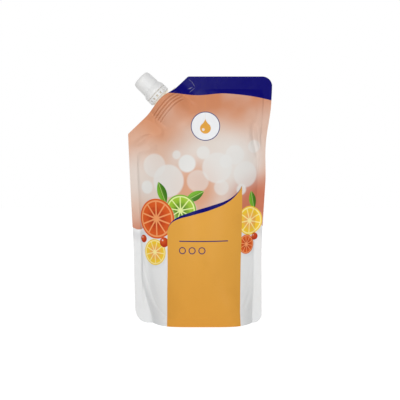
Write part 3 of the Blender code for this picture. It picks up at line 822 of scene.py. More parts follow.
def ring_mesh():
    """The ring with its windows cut through, and the bridges on its top."""
    inner = RING_RADIUS - RING_WALL
    foot = RING_BOTTOM + RING_FOOT_BEVEL
    outer = [(RING_RADIUS, h) for h in (RING_TOP, WINDOW_HIGH, WINDOW_LOW, foot)]
    under = [(RING_RADIUS - RING_FOOT_BEVEL, RING_BOTTOM)]
    under += [(RING_LIP_RADIUS, RING_BOTTOM), (RING_LIP_RADIUS, RING_LIP_TOP)]
    inside = [(inner, h) for h in (RING_LIP_TOP, WINDOW_LOW, WINDOW_HIGH, RING_TOP)]
    profile = outer + under + inside
    count = len(profile)
    outer_high, inner_low = 1, len(outer) + len(under) + 1
    half = WINDOW_WIDTH / 2 / (RING_RADIUS - RING_WALL / 2)
    pitch = 2 * math.pi / WINDOW_COUNT
    turns = []
    for w in range(WINDOW_COUNT):
        for start, width in ((-half, 2 * half), (half, pitch - 2 * half)):
            turns += [w * pitch + start + width * k / WINDOW_STEPS for k in range(WINDOW_STEPS)]
    points = [(r * math.cos(t), r * math.sin(t), h) for t in turns for r, h in profile]
    faces = []
    for c in range(len(turns)):
        a, b = c * count, (c + 1) % len(turns) * count
        in_window = c % (2 * WINDOW_STEPS) < WINDOW_STEPS
        for k in range(count):
            n = (k + 1) % count
            if not in_window or k not in (outer_high, inner_low):
                faces.append((a + k, a + n, b + n, b + k))
        if in_window:
            for high, low in ((outer_high, inner_low + 1), (inner_low, outer_high + 1)):
                faces.append((a + high, b + high, b + low, a + low))
        if c % WINDOW_STEPS == 0:
            faces.append((a + outer_high, a + outer_high + 1, a + inner_low, a + inner_low + 1))
    work = bmesh.new()
    corners = [work.verts.new(q) for q in points]
    for face in faces:
        work.faces.new([corners[i] for i in face])
    bmesh.ops.recalc_face_normals(work, faces=work.faces)
    sharp = [e for e in work.edges if e.calc_face_angle() > BEVEL_SHARP]
    bevel = {"segments": 2, "profile": 0.5, "affect": "EDGES", "clamp_overlap": True}
    bmesh.ops.bevel(work, geom=sharp, offset=RING_EDGE_BEVEL, **bevel)
    size = (RING_WALL * BRIDGE_DEPTH_SHARE, BRIDGE_WIDTH, BRIDGE_TOP - RING_TOP + BRIDGE_SUNK)
    middle = (RING_RADIUS - RING_WALL / 2, 0.0, (BRIDGE_TOP + RING_TOP - BRIDGE_SUNK) / 2)
    for w in range(WINDOW_COUNT):
        made = bmesh.ops.create_cube(work, size=1.0)["verts"]
        bmesh.ops.scale(work, vec=size, verts=made)
        bmesh.ops.translate(work, vec=middle, verts=made)
        turn = Matrix.Rotation((w + 0.5) * pitch, 3, "Z")
        bmesh.ops.rotate(work, cent=(0, 0, 0), matrix=turn, verts=made)
    return moulded_mesh("ring", work)


def boat_mesh():
    """The weld base inside the film's pocket, with its ribs."""
    levels = []
    height = -BOAT_TOP - BOAT_HEIGHT
    for rib in range(WELD_RIBS):
        levels += [(0.0, height), (0.0, height + WELD_RIB_HEIGHT)]
        height += WELD_RIB_HEIGHT
        if rib < WELD_RIBS - 1:
            levels += [(-WELD_RIB_DEPTH, height), (-WELD_RIB_DEPTH, height + WELD_GROOVE_HEIGHT)]
            height += WELD_GROOVE_HEIGHT
    work = bmesh.new()
    rings = []
    for extra, level in levels:
        turn = math.pi * np.arange(BOAT_STEPS + 1) / BOAT_STEPS
        along = -(BOAT_LENGTH / 2 + extra) * np.cos(turn)
        side = boat_half(along) + extra
        ring = [(a, -t, level) for a, t in zip(along, side)]
        ring += [(a, t, level) for a, t in zip(along[::-1], side[::-1])]
        rings.append([work.verts.new(q) for q in ring])
    for below, above in zip(rings, rings[1:]):
        for i in range(len(below)):
            j = (i + 1) % len(below)
            work.faces.new((below[i], below[j], above[j], above[i]))
    work.faces.new(rings[0])
    work.faces.new(rings[-1])
    bmesh.ops.recalc_face_normals(work, faces=work.faces)
    return moulded_mesh("weld_base", work)


# Camera, light and floor

CAMERA_DISTANCE = 0.79
CAMERA_HEIGHT = 0.150
AIM_HEIGHT = 0.1158
FRAME_WIDTH = 0.375
SENSOR_WIDTH = 36.0
NEAR_LIMIT = 0.01
LIGHT_AIM = Vector((0.0, 0.0, 0.12))

# Area lights: name, place, size and power
LIGHTS = [
    ("key", (-0.22, -1.10, 0.42), 0.36, 5.9),
    ("fill", (0.55, -0.95, 0.22), 0.40, 2.2),
    ("back", (-0.10, 1.20, 0.16), 0.70, 2.4),
]

WORLD_LIGHT = 0.42
FLOOR_SIZE = 4.0
FLOOR_GREY = (0.9, 0.9, 0.9, 1.0)
FLOOR_WHITE = 0.66
FLOOR_GLOW = 1.34


def facing(place, aim):
    return (aim - place).to_track_quat("-Z", "Y").to_euler()


def make_camera():
    data = bpy.data.cameras.new("photo_camera")
    camera = add_object("photo_camera", data)
    place = Vector((0.0, -CAMERA_DISTANCE, CAMERA_HEIGHT))
    aim = Vector((0.0, 0.0, AIM_HEIGHT))
    camera.location = place
    camera.rotation_euler = facing(place, aim)
    data.sensor_width = SENSOR_WIDTH
    data.lens = SENSOR_WIDTH * (aim - place).length / FRAME_WIDTH
    data.clip_start = NEAR_LIMIT
    bpy.context.scene.camera = camera


def area_light(name, place, size, power):
    data = bpy.data.lights.new(name, "AREA")
    data.shape = "DISK"
    data.size = size
    data.energy = power
    light = add_object(name, data)
    light.location = place
    light.rotation_euler = facing(Vector(place), LIGHT_AIM)


def put(socket, value):
    """Gives an input a value, or links another node's output to it."""
    if isinstance(value, bpy.types.NodeSocket):
        socket.id_data.links.new(value, socket)
    else:
        socket.default_value = value


def add_node(tree, kind, inputs=(), **settings):
    """A new node. Its inputs are given by name or by number."""
    made = tree.nodes.new(kind)
    for name, value in settings.items():
        setattr(made, name, value)
    for key, value in dict(inputs).items():
        put(made.inputs[key], value)
    return made


def seen_ray(tree):
    """1 for rays that the camera sees straight, in a gloss or through glass."""
    path = add_node(tree, "ShaderNodeLightPath")
    total = path.outputs["Is Camera Ray"]
    for name in ("Is Glossy Ray", "Is Transmission Ray"):
        inputs = {0: total, 1: path.outputs[name]}
        total = add_node(tree, "ShaderNodeMath", inputs, operation="MAXIMUM").outputs[0]
    return total


def make_world():
    """White wherever it is seen, and a plain level of light everywhere else."""
    world = bpy.data.worlds.new("white_studio")
    bpy.context.scene.world = world
    world.use_nodes = True
    tree = world.node_tree
    background = tree.nodes["Background"]
    background.inputs["Color"].default_value = (1.0, 1.0, 1.0, 1.0)
    inputs = {"Value": seen_ray(tree), "To Min": WORLD_LIGHT, "To Max": 1.0}
    put(background.inputs["Strength"], add_node(tree, "ShaderNodeMapRange", inputs).outputs[0])


def make_floor():
    """A pale floor that looks white and still takes the pouch's soft shadow."""
    mesh = bpy.data.meshes.new("floor")
    half = FLOOR_SIZE / 2
    corners = [(-half, -half, 0.0), (half, -half, 0.0), (half, half, 0.0), (-half, half, 0.0)]
    mesh.from_pydata(corners, [], [(0, 1, 2, 3)])
    floor = add_object("floor", mesh)
    material = bpy.data.materials.new("floor_white")
    material.use_nodes = True
    tree = material.node_tree
    tree.nodes.remove(tree.nodes["Principled BSDF"])
    matt = add_node(tree, "ShaderNodeBsdfDiffuse", {"Color": FLOOR_GREY})
    white = add_node(tree, "ShaderNodeEmission", {"Strength": FLOOR_GLOW})
    inputs = {0: seen_ray(tree), 1: FLOOR_WHITE}
    share = add_node(tree, "ShaderNodeMath", inputs, operation="MULTIPLY")
    inputs = {0: share.outputs[0], 1: matt.outputs[0], 2: white.outputs[0]}
    both = add_node(tree, "ShaderNodeMixShader", inputs)
    put(tree.nodes["Material Output"].inputs["Surface"], both.outputs[0])
    mesh.materials.append(material)


def make_studio():
    make_world()
    make_floor()
    for light in LIGHTS:
        area_light(*light)


# Shader nodes

def linear(red, green, blue):
    """A colour as seen, 0 to 255, as the linear values that a shader takes."""
    seen = [c / 255 for c in (red, green, blue)]
    return *(p / 12.92 if p <= 0.04045 else ((p + 0.055) / 1.055) ** 2.4 for p in seen), 1.0


class Shader:
    """Short names for the nodes that the materials here are made of."""

    def __init__(self, name):
        self.material = bpy.data.materials.new(name)
        self.material.use_nodes = True
        self.tree = self.material.node_tree
        self.surface = self.tree.nodes["Principled BSDF"]

    def node(self, kind, inputs=(), **settings):
        return add_node(self.tree, kind, inputs, **settings)

    def math(self, operation, *values):
        return self.node("ShaderNodeMath", enumerate(values), operation=operation).outputs[0]

    def minus(self, a, b):
        return self.math("SUBTRACT", a, b)

    def times(self, a, b):
        return self.math("MULTIPLY", a, b)

    def times_plus(self, a, b, c):
        return self.math("MULTIPLY_ADD", a, b, c)

    def magnitude(self, a):
        return self.math("ABSOLUTE", a)

    def over(self, value, limit, soft):
        """1 where the value is over a limit, with a soft edge."""
        return self.ramp(value, limit - soft, limit + soft)

    def under(self, value, limit, soft):
        return self.ramp(value, limit + soft, limit - soft)

    def ramp(self, value, low, high, start=0.0, end=1.0):
        """start at low, end at high, and a smooth S between."""
        inputs = enumerate((value, low, high, start, end))
        return self.node("ShaderNodeMapRange", inputs, interpolation_type="SMOOTHSTEP").outputs[0]

    def mix(self, below, above, mask, blend="MIX"):
        """One colour over another, or multiplied by it, where the mask is 1."""
        inputs = {0: mask, 6: below, 7: above}
        return self.node("ShaderNodeMix", inputs, data_type="RGBA", blend_type=blend).outputs[2]

    def curve(self, value, points):
        """A smooth curve through (in, out) points from 0 to 1."""
        made = self.node("ShaderNodeFloatCurve", {"Value": value})
        line = made.mapping.curves[0]
        line.points[0].location = points[0]
        line.points[1].location = points[-1]
        for place in points[1:-1]:
            line.points.new(*place)
        made.mapping.update()
        return made.outputs[0]

    def noise(self, place, scale, detail=2.0, stretch=(1.0, 1.0, 1.0)):
        """Noise around 0.5. place is a vector socket in metres, and scale is bumps per metre."""
        mapped = self.node("ShaderNodeMapping", {"Vector": place, "Scale": stretch}).outputs[0]
        inputs = {"Vector": mapped, "Scale": scale, "Detail": detail}
        return self.node("ShaderNodeTexNoise", inputs).outputs["Fac"]

    def parts(self, vector):
        return self.node("ShaderNodeSeparateXYZ", {0: vector}).outputs

    def object_place(self):
        return self.node("ShaderNodeTexCoord").outputs["Object"]

    def bump(self, height, distance, strength=1.0, normal=None):
        inputs = {"Height": height, "Distance": distance, "Strength": strength}
        if normal is not None:
            inputs["Normal"] = normal
        return self.node("ShaderNodeBump", inputs).outputs[0]

    def finish(self, **values):
        for name, value in values.items():
            put(self.surface.inputs[name.replace("_", " ")], value)
        return self.material


# The print's colours, as they are seen
NAVY = linear(6, 3, 98)
PEACH_DEEP = linear(193, 127, 91)
PEACH = linear(203, 145, 111)
PEACH_PALE = linear(212, 202, 194)
PEACH_SOFT = linear(209, 172, 150)
PALE_BOKEH_AND_HIGHLIGHT = linear(215, 214, 211)
ROSE = linear(190, 114, 88)
MILK = linear(221, 222, 222)
MILK_SHADE = linear(200, 201, 203)
PANEL = linear(213, 155, 66)
PANEL_DEEP = linear(212, 152, 63)
PANEL_SHADE = (0.94, 0.93, 0.91, 1.0)
BADGE = linear(224, 225, 227)
# Painted highlight for the crests between the weld grooves, and painted shade multiplied into the
# grooves
WELD_CREST_PAINTED_HIGHLIGHT = linear(236, 214, 200)
WELD_GROOVE_PAINTED_SHADE = (0.80, 0.70, 0.64, 1.0)
LEAF = linear(112, 168, 48)
LEAF_DEEP = linear(62, 112, 30)
LEMON = linear(228, 190, 52)
LEMON_PALE = linear(238, 222, 150)
BLOOD = linear(206, 88, 38)
BLOOD_DEEP = linear(172, 50, 26)
BLOOD_PALE = linear(228, 150, 96)
LIME = linear(150, 186, 56)
LIME_PALE = linear(214, 226, 150)
CAP_WHITE, CAP_WARM = linear(198, 198, 198), linear(205, 205, 203)
SPOUT_WHITE, SPOUT_WARM = linear(190, 186, 176), linear(223, 212, 195)
CAP_GLOW, SPOUT_GLOW = 0.225, 0.37
FILM_SPECULAR, PLASTIC_SPECULAR = 0.05, 0.25

# Cut fruit: colours of its rind, pith, flesh and heart, and how many segments it has
LEMON_FRUIT = (LEMON, LEMON_PALE, LEMON, BLOOD_PALE, 9)
BLOOD_FRUIT = (BLOOD, BLOOD_PALE, BLOOD, BLOOD_DEEP, 10)
LIME_FRUIT = (LEAF, LIME_PALE, LIME, LEAF_DEEP, 9)

# Half the width of a sharp printed edge, and of a soft disc's edge
PRINT_EDGE = 0.15
BOKEH_EDGE = 1.1

# Lower edge of the dark band over the top seal
BAND_LOW = 215.4
BAND_DROOP = 0.0022
BAND_DROOP_START = 12.0
BAND_DIP = 1.9
BAND_DIP_PLACE = -2.0
BAND_DIP_REACH = 26.0


class Print(Shader):
    """Flat shapes on the film. Places and sizes are in millimetres of flat film, across and up."""

    def __init__(self, name):
        super().__init__(name)
        self.flat = self.node("ShaderNodeUVMap", uv_map="flat_film").outputs[0]
        across, up, _ = self.parts(self.flat)
        self.across, self.up = self.times(across, 1000.0), self.times(up, 1000.0)

    def offset(self, x, z):
        return self.minus(self.across, x), self.minus(self.up, z)

    def length(self, a, b):
        return self.math("SQRT", self.times_plus(a, a, self.times(b, b)))

    def disc(self, x, z, radius, soft=PRINT_EDGE):
        return self.under(self.length(*self.offset(x, z)), radius, soft)

    def box(self, x, z, half_width, half_height, soft=PRINT_EDGE):
        a, b = (self.magnitude(side) for side in self.offset(x, z))
        return self.times(self.under(a, half_width, soft), self.under(b, half_height, soft))

    def ring(self, x, z, radius, width):
        return self.minus(self.disc(x, z, radius), self.disc(x, z, radius - width))

    def turned(self, x, z, degrees):
        """Coordinates from a point, along and across a direction."""
        a, b = self.offset(x, z)
        cos, sin = math.cos(math.radians(degrees)), math.sin(math.radians(degrees))
        along = self.times_plus(a, cos, self.times(b, sin))
        beside = self.times_plus(b, cos, self.times(a, -sin))
        return along, beside

    def bokeh(self, colour, discs):
        """Pale out-of-focus discs: (x, z, radius, strength)."""
        for x, z, radius, strength in discs:
            disc = self.disc(x, z, radius, BOKEH_EDGE)
            colour = self.mix(colour, PALE_BOKEH_AND_HIGHLIGHT, self.times(disc, strength))
        return colour

    def slice(self, colour, x, z, radius, turn, fruit):
        """A round slice of citrus fruit: rind, pith and segments with darker hearts."""
        rind, pith, flesh, heart, segments = fruit
        a, b = self.offset(x, z)
        away = self.length(a, b)
        angle = self.math("ADD", self.math("ARCTAN2", b, a), turn)
        wall = self.magnitude(self.math("SINE", self.times(angle, segments / 2)))
        gap = self.times(self.times(wall, away), 2.0 / segments)
        fibres = self.times_plus(self.noise(self.flat, 520.0, 3.0), radius * 0.5, away)
        pulp = self.mix(heart, flesh, self.ramp(fibres, radius * 0.35, radius * 1.05))
        inner = self.ramp(away, radius * 0.86, radius * 0.82)
        inner = self.times(inner, self.ramp(away, radius * 0.07, radius * 0.12))
        inner = self.times(inner, self.ramp(gap, radius * 0.022, radius * 0.05))
        face = self.mix(pith, pulp, inner)
        face = self.mix(face, rind, self.ramp(away, radius * 0.90, radius * 0.94))
        shadow = self.disc(x + radius * 0.06, z - radius * 0.16, radius * 1.02, 2.2)
        colour = self.mix(colour, MILK_SHADE, self.times(shadow, 0.45))
        return self.mix(colour, face, self.under(away, radius, PRINT_EDGE))

    def leaf(self, colour, x, z, length, width, degrees):
        """A leaf with a pale midrib: two arcs that meet at both tips."""
        along, beside = self.turned(x, z, degrees)
        share = self.math("DIVIDE", along, length / 2)
        half = self.times_plus(self.times(share, share), -width / 2, width / 2)
        side = self.magnitude(beside)
        inside = self.ramp(self.minus(half, side), -0.1, 0.2)
        green = self.mix(LEAF_DEEP, LEAF, self.ramp(beside, -width * 0.3, width * 0.35))
        green = self.mix(green, LIME_PALE, self.times(self.ramp(side, 0.35, 0.1), 0.6))
        return self.mix(colour, green, inside)

    def berry(self, colour, x, z, radius):
        light = self.disc(x - radius * 0.25, z + radius * 0.3, radius * 0.6, radius * 0.6)
        shine = self.disc(x - radius * 0.35, z + radius * 0.4, radius * 0.16, radius * 0.1)
        face = self.mix(BLOOD_DEEP, BLOOD, light)
        face = self.mix(face, PALE_BOKEH_AND_HIGHLIGHT, self.times(shine, 0.8))
        return self.mix(colour, face, self.disc(x, z, radius))

    def painted_crease_highlight(self, colour, x, z, end_x, end_z, strength):
        """A painted highlight: a pale line along a fine crease, standing for the gloss that the
        crease catches.
        """
        half = math.hypot(end_x - x, end_z - z) / 2
        degrees = math.degrees(math.atan2(end_z - z, end_x - x))
        along, beside = self.turned((x + end_x) / 2, (z + end_z) / 2, degrees)
        line = self.under(self.magnitude(beside), 0.25, 0.17)
        line = self.times(line, self.ramp(self.magnitude(along), half + 0.6, half * 0.4))
        return self.mix(colour, PALE_BOKEH_AND_HIGHLIGHT, self.times(line, strength))

    def backdrop(self):
        """Peach at the top, paler in the middle, and rose above the milk."""
        colour = self.mix(PEACH, PEACH_DEEP, self.ramp(self.up, 172.0, 212.0))
        colour = self.mix(ROSE, colour, self.ramp(self.up, 88.0, 128.0))
        drift = self.noise(self.flat, 26.0, 2.0)
        colour = self.mix(colour, PEACH_PALE, self.ramp(drift, 0.45, 0.72, 0.0, 0.25))
        for x, z, full, end, strength, tone in CLOUDS:
            away = self.length(*self.offset(x, z))
            colour = self.mix(colour, tone, self.ramp(away, end, full, 0.0, strength))
        return colour

    def milk(self, colour, level, swing, length, phase):
        wave = self.math("SINE", self.times_plus(self.across, 2 * math.pi / length, phase))
        ripple = self.math("SINE", self.times_plus(self.across, 5.1 * math.pi / length, phase * 2))
        edge = self.times_plus(wave, swing, level)
        edge = self.times_plus(ripple, swing * 0.3, edge)
        depth = self.minus(edge, self.up)
        shade = self.times(self.ramp(depth, 1.0, 5.0), self.ramp(depth, 14.0, 6.0))
        tone = self.mix(MILK, MILK_SHADE, shade)
        return self.mix(colour, self.mix(MILK, tone, 0.6), self.over(depth, 0.0, 0.2))

    def band(self, colour):
        """The dark band over the top seal. Its lower edge droops towards the right."""
        past = self.math("MAXIMUM", self.minus(self.across, BAND_DROOP_START), 0.0)
        edge = self.times_plus(self.times(past, past), -BAND_DROOP, BAND_LOW)
        away = self.magnitude(self.minus(self.across, BAND_DIP_PLACE))
        edge = self.times_plus(self.ramp(away, BAND_DIP_REACH, 0.0), -BAND_DIP, edge)
        return self.mix(colour, NAVY, self.over(self.minus(self.up, edge), 0.0, PRINT_EDGE))


# Soft fields of colour behind the discs:
# (x, z, radius of its full part, radius where it ends, strength, colour)
CLOUDS = [
    (16.0, 142.0, 26.0, 62.0, 1.0, PEACH_PALE),
    (-36.0, 134.0, 8.0, 48.0, 0.85, PEACH_PALE),
    (-6.0, 126.0, 8.0, 38.0, 0.92, PEACH),
    (-44.0, 152.0, 6.0, 24.0, 0.75, PEACH_SOFT),
    (-66.0, 130.0, 12.0, 42.0, 0.85, PEACH_PALE),
    (-64.0, 104.0, 4.0, 26.0, 0.55, PEACH_SOFT),
    (66.0, 180.0, 8.0, 38.0, 0.50, PEACH_PALE),
    (-62.0, 168.0, 4.0, 26.0, 0.25, PEACH_PALE),
    (-22.0, 186.0, 4.0, 22.0, 0.16, PEACH_PALE),
    (40.0, 152.0, 8.0, 34.0, 0.5, PALE_BOKEH_AND_HIGHLIGHT),
    (58.0, 106.0, 16.0, 44.0, 1.0, ROSE),
]
# Painted highlights along fine creases of the dark band: from (x, z) to (x, z), and their strength
BAND_CREASE_HIGHLIGHTS = [
    (-10.6, 228.4, -6.8, 225.2, 0.10),
    (-7.6, 226.2, -4.8, 221.4, 0.18),
    (-4.6, 220.6, -10.2, 215.8, 0.16),
    (-11.6, 219.2, -6.6, 221.2, 0.16),
    (-10.2, 219.4, -8.4, 220.0, 0.20),
]
# Soft discs: (x, z, radius, strength)
FRONT_BOKEH = [
    (-44.0, 148.0, 11.0, 0.60),
    (-30.0, 134.0, 15.0, 0.78),
    (-12.0, 150.0, 8.0, 1.00),
    (3.0, 160.0, 6.0, 0.80),
    (16.0, 146.0, 14.0, 0.70),
    (24.0, 152.0, 6.0, 1.00),
    (33.0, 158.0, 9.0, 0.70),
    (-2.0, 134.0, 10.0, 0.50),
    (20.0, 128.0, 7.0, 0.60),
    (44.0, 140.0, 12.0, 0.66),
    (-52.0, 128.0, 6.0, 0.90),
    (52.0, 166.0, 6.0, 0.63),
    (-22.0, 158.0, 4.0, 0.78),
    (40.0, 126.0, 5.0, 0.84),
]
BACK_BOKEH = [
    (-40.0, 150.0, 13.0, 0.68),
    (-20.0, 138.0, 9.0, 0.78),
    (12.0, 152.0, 15.0, 0.68),
    (38.0, 140.0, 11.0, 0.78),
    (30.0, 160.0, 5.0, 0.88),
    (-6.0, 160.0, 5.0, 0.78),
]
# Leaves: (x, z, length, width, direction in degrees)
LEAVES = [
    (-36.0, 123.0, 22.0, 9.5, 112.0),
    (-5.0, 120.0, 20.0, 8.5, 28.0),
    (53.0, 116.0, 18.0, 8.0, 105.0),
]
# Slices of fruit: (x, z, radius, turn, fruit)
SLICES = [
    (-18.0, 107.0, 14.5, 0.5, LIME_FRUIT),
    (-42.5, 99.0, 18.5, 0.3, BLOOD_FRUIT),
    (-45.0, 68.0, 12.0, 0.1, LEMON_FRUIT),
    (50.5, 97.0, 13.5, 0.2, LEMON_FRUIT),
    (47.5, 75.0, 9.0, 0.2, BLOOD_FRUIT),
]
BACK_SLICE = (-24.0, 34.0, 8.0, 0.1, LEMON_FRUIT)
# Berries: (x, z, radius)
BERRIES = [(-34.5, 77.5, 4.6), (-58.0, 80.0, 3.6), (57.0, 82.0, 3.4)]

# Ochre panel of the front
PANEL_LEFT = -31.0
PANEL_RIGHT = 38.6
PANEL_SWELL = 3.0
PANEL_SWELL_HEIGHT = 88.0
PANEL_SWELL_REACH = 75.0
PANEL_LOW_TOP = 87.0
PANEL_HIGH_TOP = 129.5
PANEL_STRIPE = 3.4
PANEL_EDGE = [
    (0.0, 0.0),
    (0.04, 0.17),
    (0.12, 0.28),
    (0.32, 0.40),
    (0.58, 0.53),
    (0.80, 0.67),
    (0.93, 0.83),
    (1.0, 1.0),
]
BADGE_PLACE = (5.0, 184.5)
BADGE_RADIUS = 13.6
BADGE_LINE = 0.7
DROP_RADIUS = 5.0
DROP_HEIGHT = 9.5
RULE_PLACE = (3.8, 79.0)
RULE_SIZE = (23.0, 0.45)
RING_COUNT = 3
RING_PLACE = (-16.2, 70.5)
RING_PITCH = 9.0
RING_SIZE = (3.2, 0.8)

# Card of the back: place, half its size and the width of its frame
CARD_PLACE = (0.0, 70.0)
CARD_SIZE = (38.0, 48.0)
CARD_FRAME = 1.5


def weld_grooves(shader):
    """Two masks: 1 in the middle of each weld groove, and 1 on the crest between two of them. The
    first carries the grooves' bump and a painted shade; the second carries a painted highlight.
    """
    x, _, z = shader.parts(shader.object_place())
    dx, dz = shader.minus(x, SPOUT_FOOT.x), shader.minus(z, SPOUT_FOOT.z)
    along = shader.times_plus(dx, SPOUT_ALONG.x, shader.times(dz, SPOUT_ALONG.z))
    inwards = shader.times_plus(dx, -SPOUT_OUT.x, shader.times(dz, -SPOUT_OUT.z))
    past = shader.minus(along, WELD_MIDDLE)
    side = shader.math("GREATER_THAN", past, 0.0)
    bend = shader.times_plus(side, WELD_BEND_RIGHT - WELD_BEND_LEFT, WELD_BEND_LEFT)
    bowed = shader.times(bend, shader.times(past, past))
    from_first = shader.minus(shader.minus(inwards, bowed), WELD_GROOVE_FIRST)
    share = shader.math("DIVIDE", from_first, WELD_GROOVE_SPACING)
    away = shader.magnitude(shader.minus(share, shader.math("ROUND", share)))
    half = WELD_GROOVE_WIDTH / 2 / WELD_GROOVE_SPACING
    line = shader.ramp(away, half, half * 0.1)
    crest = shader.ramp(away, 0.5 - half, 0.5)
    last = WELD_GROOVES - 0.5
    limits = [
        (share, -0.5, -0.5 + WELD_SIDE_FADE),
        (share, last, last - WELD_SIDE_FADE),
        (past, -WELD_REACH_LEFT, -WELD_REACH_LEFT + WELD_FADE_LEFT),
        (past, WELD_REACH_RIGHT, WELD_REACH_RIGHT - WELD_FADE_RIGHT),
    ]
    inside = 1.0
    for limit in limits:
        inside = shader.times(inside, shader.ramp(*limit))
    return shader.times(line, inside), shader.times(crest, inside)


def film_finish(shader, colour):
    """Satin laminate: fine haze in its gloss, and a faint unevenness of the film. The weld grooves
    are darkened with painted shade, and the crests between them are lightened with a painted
    highlight.
    """
    place = shader.object_place()
    haze = shader.noise(place, 900.0, 3.0)
    smear = shader.noise(place, 45.0, 2.0)
    uneven = shader.ramp(smear, 0.3, 0.7, -0.02, 0.03)
    rough = shader.math("ADD", shader.ramp(haze, 0.3, 0.7, 0.27, 0.33), uneven)
    grain = shader.bump(shader.noise(place, 1500.0, 2.0), 0.00003)
    grooves, painted_highlight_crests = weld_grooves(shader)
    pressed = shader.bump(grooves, -WELD_GROOVE_BUMP, 1.0, grain)
    slack = shader.bump(shader.noise(place, 110.0, 3.0), 0.0003, 0.7, pressed)
    # Painted shade darkens the weld grooves, and a painted highlight lightens the crests between
    # them
    colour = shader.mix(colour, WELD_GROOVE_PAINTED_SHADE, shader.times(grooves, 0.40), "MULTIPLY")
    colour = shader.mix(colour, WELD_CREST_PAINTED_HIGHLIGHT, shader.times(painted_highlight_crests, 0.14))
    shader.surface.inputs["Specular IOR Level"].default_value = FILM_SPECULAR
    return shader.finish(Base_Color=colour, Roughness=rough, Normal=slack)


def front_panel(ink, colour):
    """The orange field with its rising top edge and the dark stripe along it."""
    share = ink.math("DIVIDE", ink.minus(ink.across, PANEL_LEFT), PANEL_RIGHT + 2.0 - PANEL_LEFT)
    share = ink.math("MINIMUM", ink.math("MAXIMUM", share, 0.0), 1.0)
    climb = ink.curve(share, PANEL_EDGE)
    top = ink.times_plus(climb, PANEL_HIGH_TOP - PANEL_LOW_TOP, PANEL_LOW_TOP)
    from_swell = ink.math("DIVIDE", ink.minus(ink.up, PANEL_SWELL_HEIGHT), PANEL_SWELL_REACH)
    swell = ink.minus(1.0, ink.times(from_swell, from_swell))
    past_right = ink.minus(ink.across, PANEL_RIGHT)
    past_right = ink.times_plus(ink.math("MAXIMUM", swell, 0.0), -PANEL_SWELL, past_right)
    sides = ink.over(ink.across, PANEL_LEFT, PRINT_EDGE)
    sides = ink.times(sides, ink.under(past_right, 0.0, PRINT_EDGE))
    body = ink.mix(PANEL_DEEP, PANEL, ink.ramp(ink.up, 20.0, 90.0))
    patches = ink.noise(ink.flat, 34.0, 3.0, (1.0, 0.7, 1.0))
    body = ink.mix(body, PANEL_SHADE, ink.ramp(patches, 0.48, 0.72, 0.0, 0.8), "MULTIPLY")
    below_top = ink.over(ink.minus(top, ink.up), 0.0, PRINT_EDGE)
    colour = ink.mix(colour, body, ink.times(below_top, sides))
    fullness = ink.math("SINE", ink.times(share, math.pi))
    thick = ink.times_plus(fullness, PANEL_STRIPE, 0.4)
    middle = ink.magnitude(ink.minus(ink.up, top))
    stripe = ink.under(ink.minus(middle, ink.times(thick, 0.5)), 0.0, PRINT_EDGE)
    return ink.mix(colour, NAVY, ink.times(stripe, sides))


def front_badge(ink, colour):
    """A plain pale badge with a thin ring and a drop."""
    x, z = BADGE_PLACE
    colour = ink.mix(colour, BADGE, ink.disc(x, z, BADGE_RADIUS))
    colour = ink.mix(colour, NAVY, ink.ring(x, z, BADGE_RADIUS, BADGE_LINE))
    a, b = ink.offset(x, z - 2.0)
    tip_share = ink.ramp(b, -1.0, DROP_HEIGHT)
    taper = ink.times_plus(tip_share, -DROP_RADIUS, DROP_RADIUS)
    upper = ink.over(ink.minus(taper, ink.magnitude(a)), 0.0, PRINT_EDGE)
    upper = ink.times(upper, ink.over(b, -0.45, PRINT_EDGE))
    drop = ink.math("MAXIMUM", upper, ink.disc(x, z - 2.0, DROP_RADIUS))
    colour = ink.mix(colour, PANEL, drop)
    return ink.mix(colour, BADGE, ink.times(ink.disc(x - 1.9, z - 3.2, 1.3, 0.3), 0.8))


def front_rule(ink, colour):
    """A thin rule and three small rings, where a label has its words."""
    colour = ink.mix(colour, NAVY, ink.box(*RULE_PLACE, *RULE_SIZE, 0.1))
    x, z = RING_PLACE
    for k in range(RING_COUNT):
        colour = ink.mix(colour, NAVY, ink.ring(x + RING_PITCH * k, z, *RING_SIZE))
    return colour


def make_front_print():
    ink = Print("front_film")
    colour = ink.bokeh(ink.backdrop(), FRONT_BOKEH)
    for leaf in LEAVES:
        colour = ink.leaf(colour, *leaf)
    colour = ink.milk(colour, 92.0, 3.0, 47.0, 0.6)
    for fruit in SLICES:
        colour = ink.slice(colour, *fruit)
    for berry in BERRIES:
        colour = ink.berry(colour, *berry)
    for part in (front_panel, front_rule, front_badge):
        colour = part(ink, colour)
    colour = ink.band(colour)
    # Pale lines painted along the band's creases as highlights
    for crease_highlight in BAND_CREASE_HIGHLIGHTS:
        colour = ink.painted_crease_highlight(colour, *crease_highlight)
    return film_finish(ink, colour)


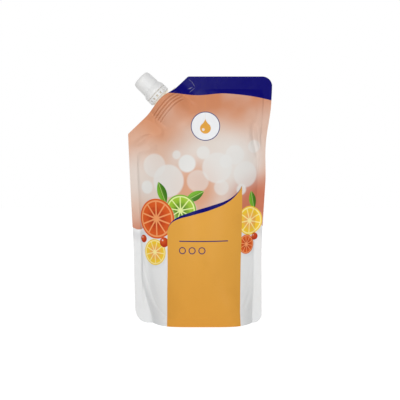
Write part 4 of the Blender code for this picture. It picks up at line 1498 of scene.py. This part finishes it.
def make_back_print():
    ink = Print("back_film")
    colour = ink.bokeh(ink.backdrop(), BACK_BOKEH)
    colour = ink.milk(colour, 94.0, 3.0, 52.0, 1.9)
    for tone, frame_width in ((PANEL, 0.0), (MILK, CARD_FRAME)):
        size = [half - frame_width for half in CARD_SIZE]
        colour = ink.mix(colour, tone, ink.box(*CARD_PLACE, *size))
    colour = ink.slice(colour, *BACK_SLICE)
    return film_finish(ink, ink.band(colour))


def make_gusset_film():
    return film_finish(Shader("gusset_film"), MILK)


def make_milky_plastic(name, colour, warm, glow):
    """Moulded polyethylene: milky, with a faint orange-peel skin.

    Its glow stands for the light that comes through it.
    """
    shader = Shader(name)
    place = shader.object_place()
    warmth = shader.ramp(shader.noise(place, 160.0, 3.0), 0.35, 0.75, 0.0, 0.35)
    tone = shader.mix(colour, warm, warmth)
    rough = shader.ramp(shader.noise(place, 420.0, 3.0), 0.3, 0.7, 0.36, 0.44)
    skin = shader.bump(shader.noise(place, 700.0, 2.0), 0.00001)
    shader.surface.inputs["Specular IOR Level"].default_value = PLASTIC_SPECULAR
    shader.surface.inputs["Emission Strength"].default_value = glow
    return shader.finish(Base_Color=tone, Roughness=rough, Normal=skin, Emission_Color=warm)


film_mesh = build_film()
clean_and_face_outwards(film_mesh)
shade(film_mesh, FILM_SHARP)
film_materials = [make_front_print(), make_back_print(), make_gusset_film()]
film = add_piece("pouch_film", film_mesh, "pack", *film_materials)
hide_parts("refill_pouch")
cap_plastic = make_milky_plastic("cap_plastic", CAP_WHITE, CAP_WARM, CAP_GLOW)
spout_plastic = make_milky_plastic("spout_plastic", SPOUT_WHITE, SPOUT_WARM, SPOUT_GLOW)
cap = add_piece("cap", cap_mesh(), "cap", cap_plastic)
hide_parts("screw_cap")
ring = add_piece("ring", ring_mesh(), "ring", cap_plastic)
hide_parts("tamper_ring")
neck = add_piece("spout_neck", neck_mesh(), "pack", spout_plastic)
weld_base = add_piece("spout_weld_base", boat_mesh(), "pack", spout_plastic)
for part in (neck, weld_base):
    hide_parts("spout")

make_camera()
make_studio()
bpy.context.scene.view_settings.view_transform = "Standard"
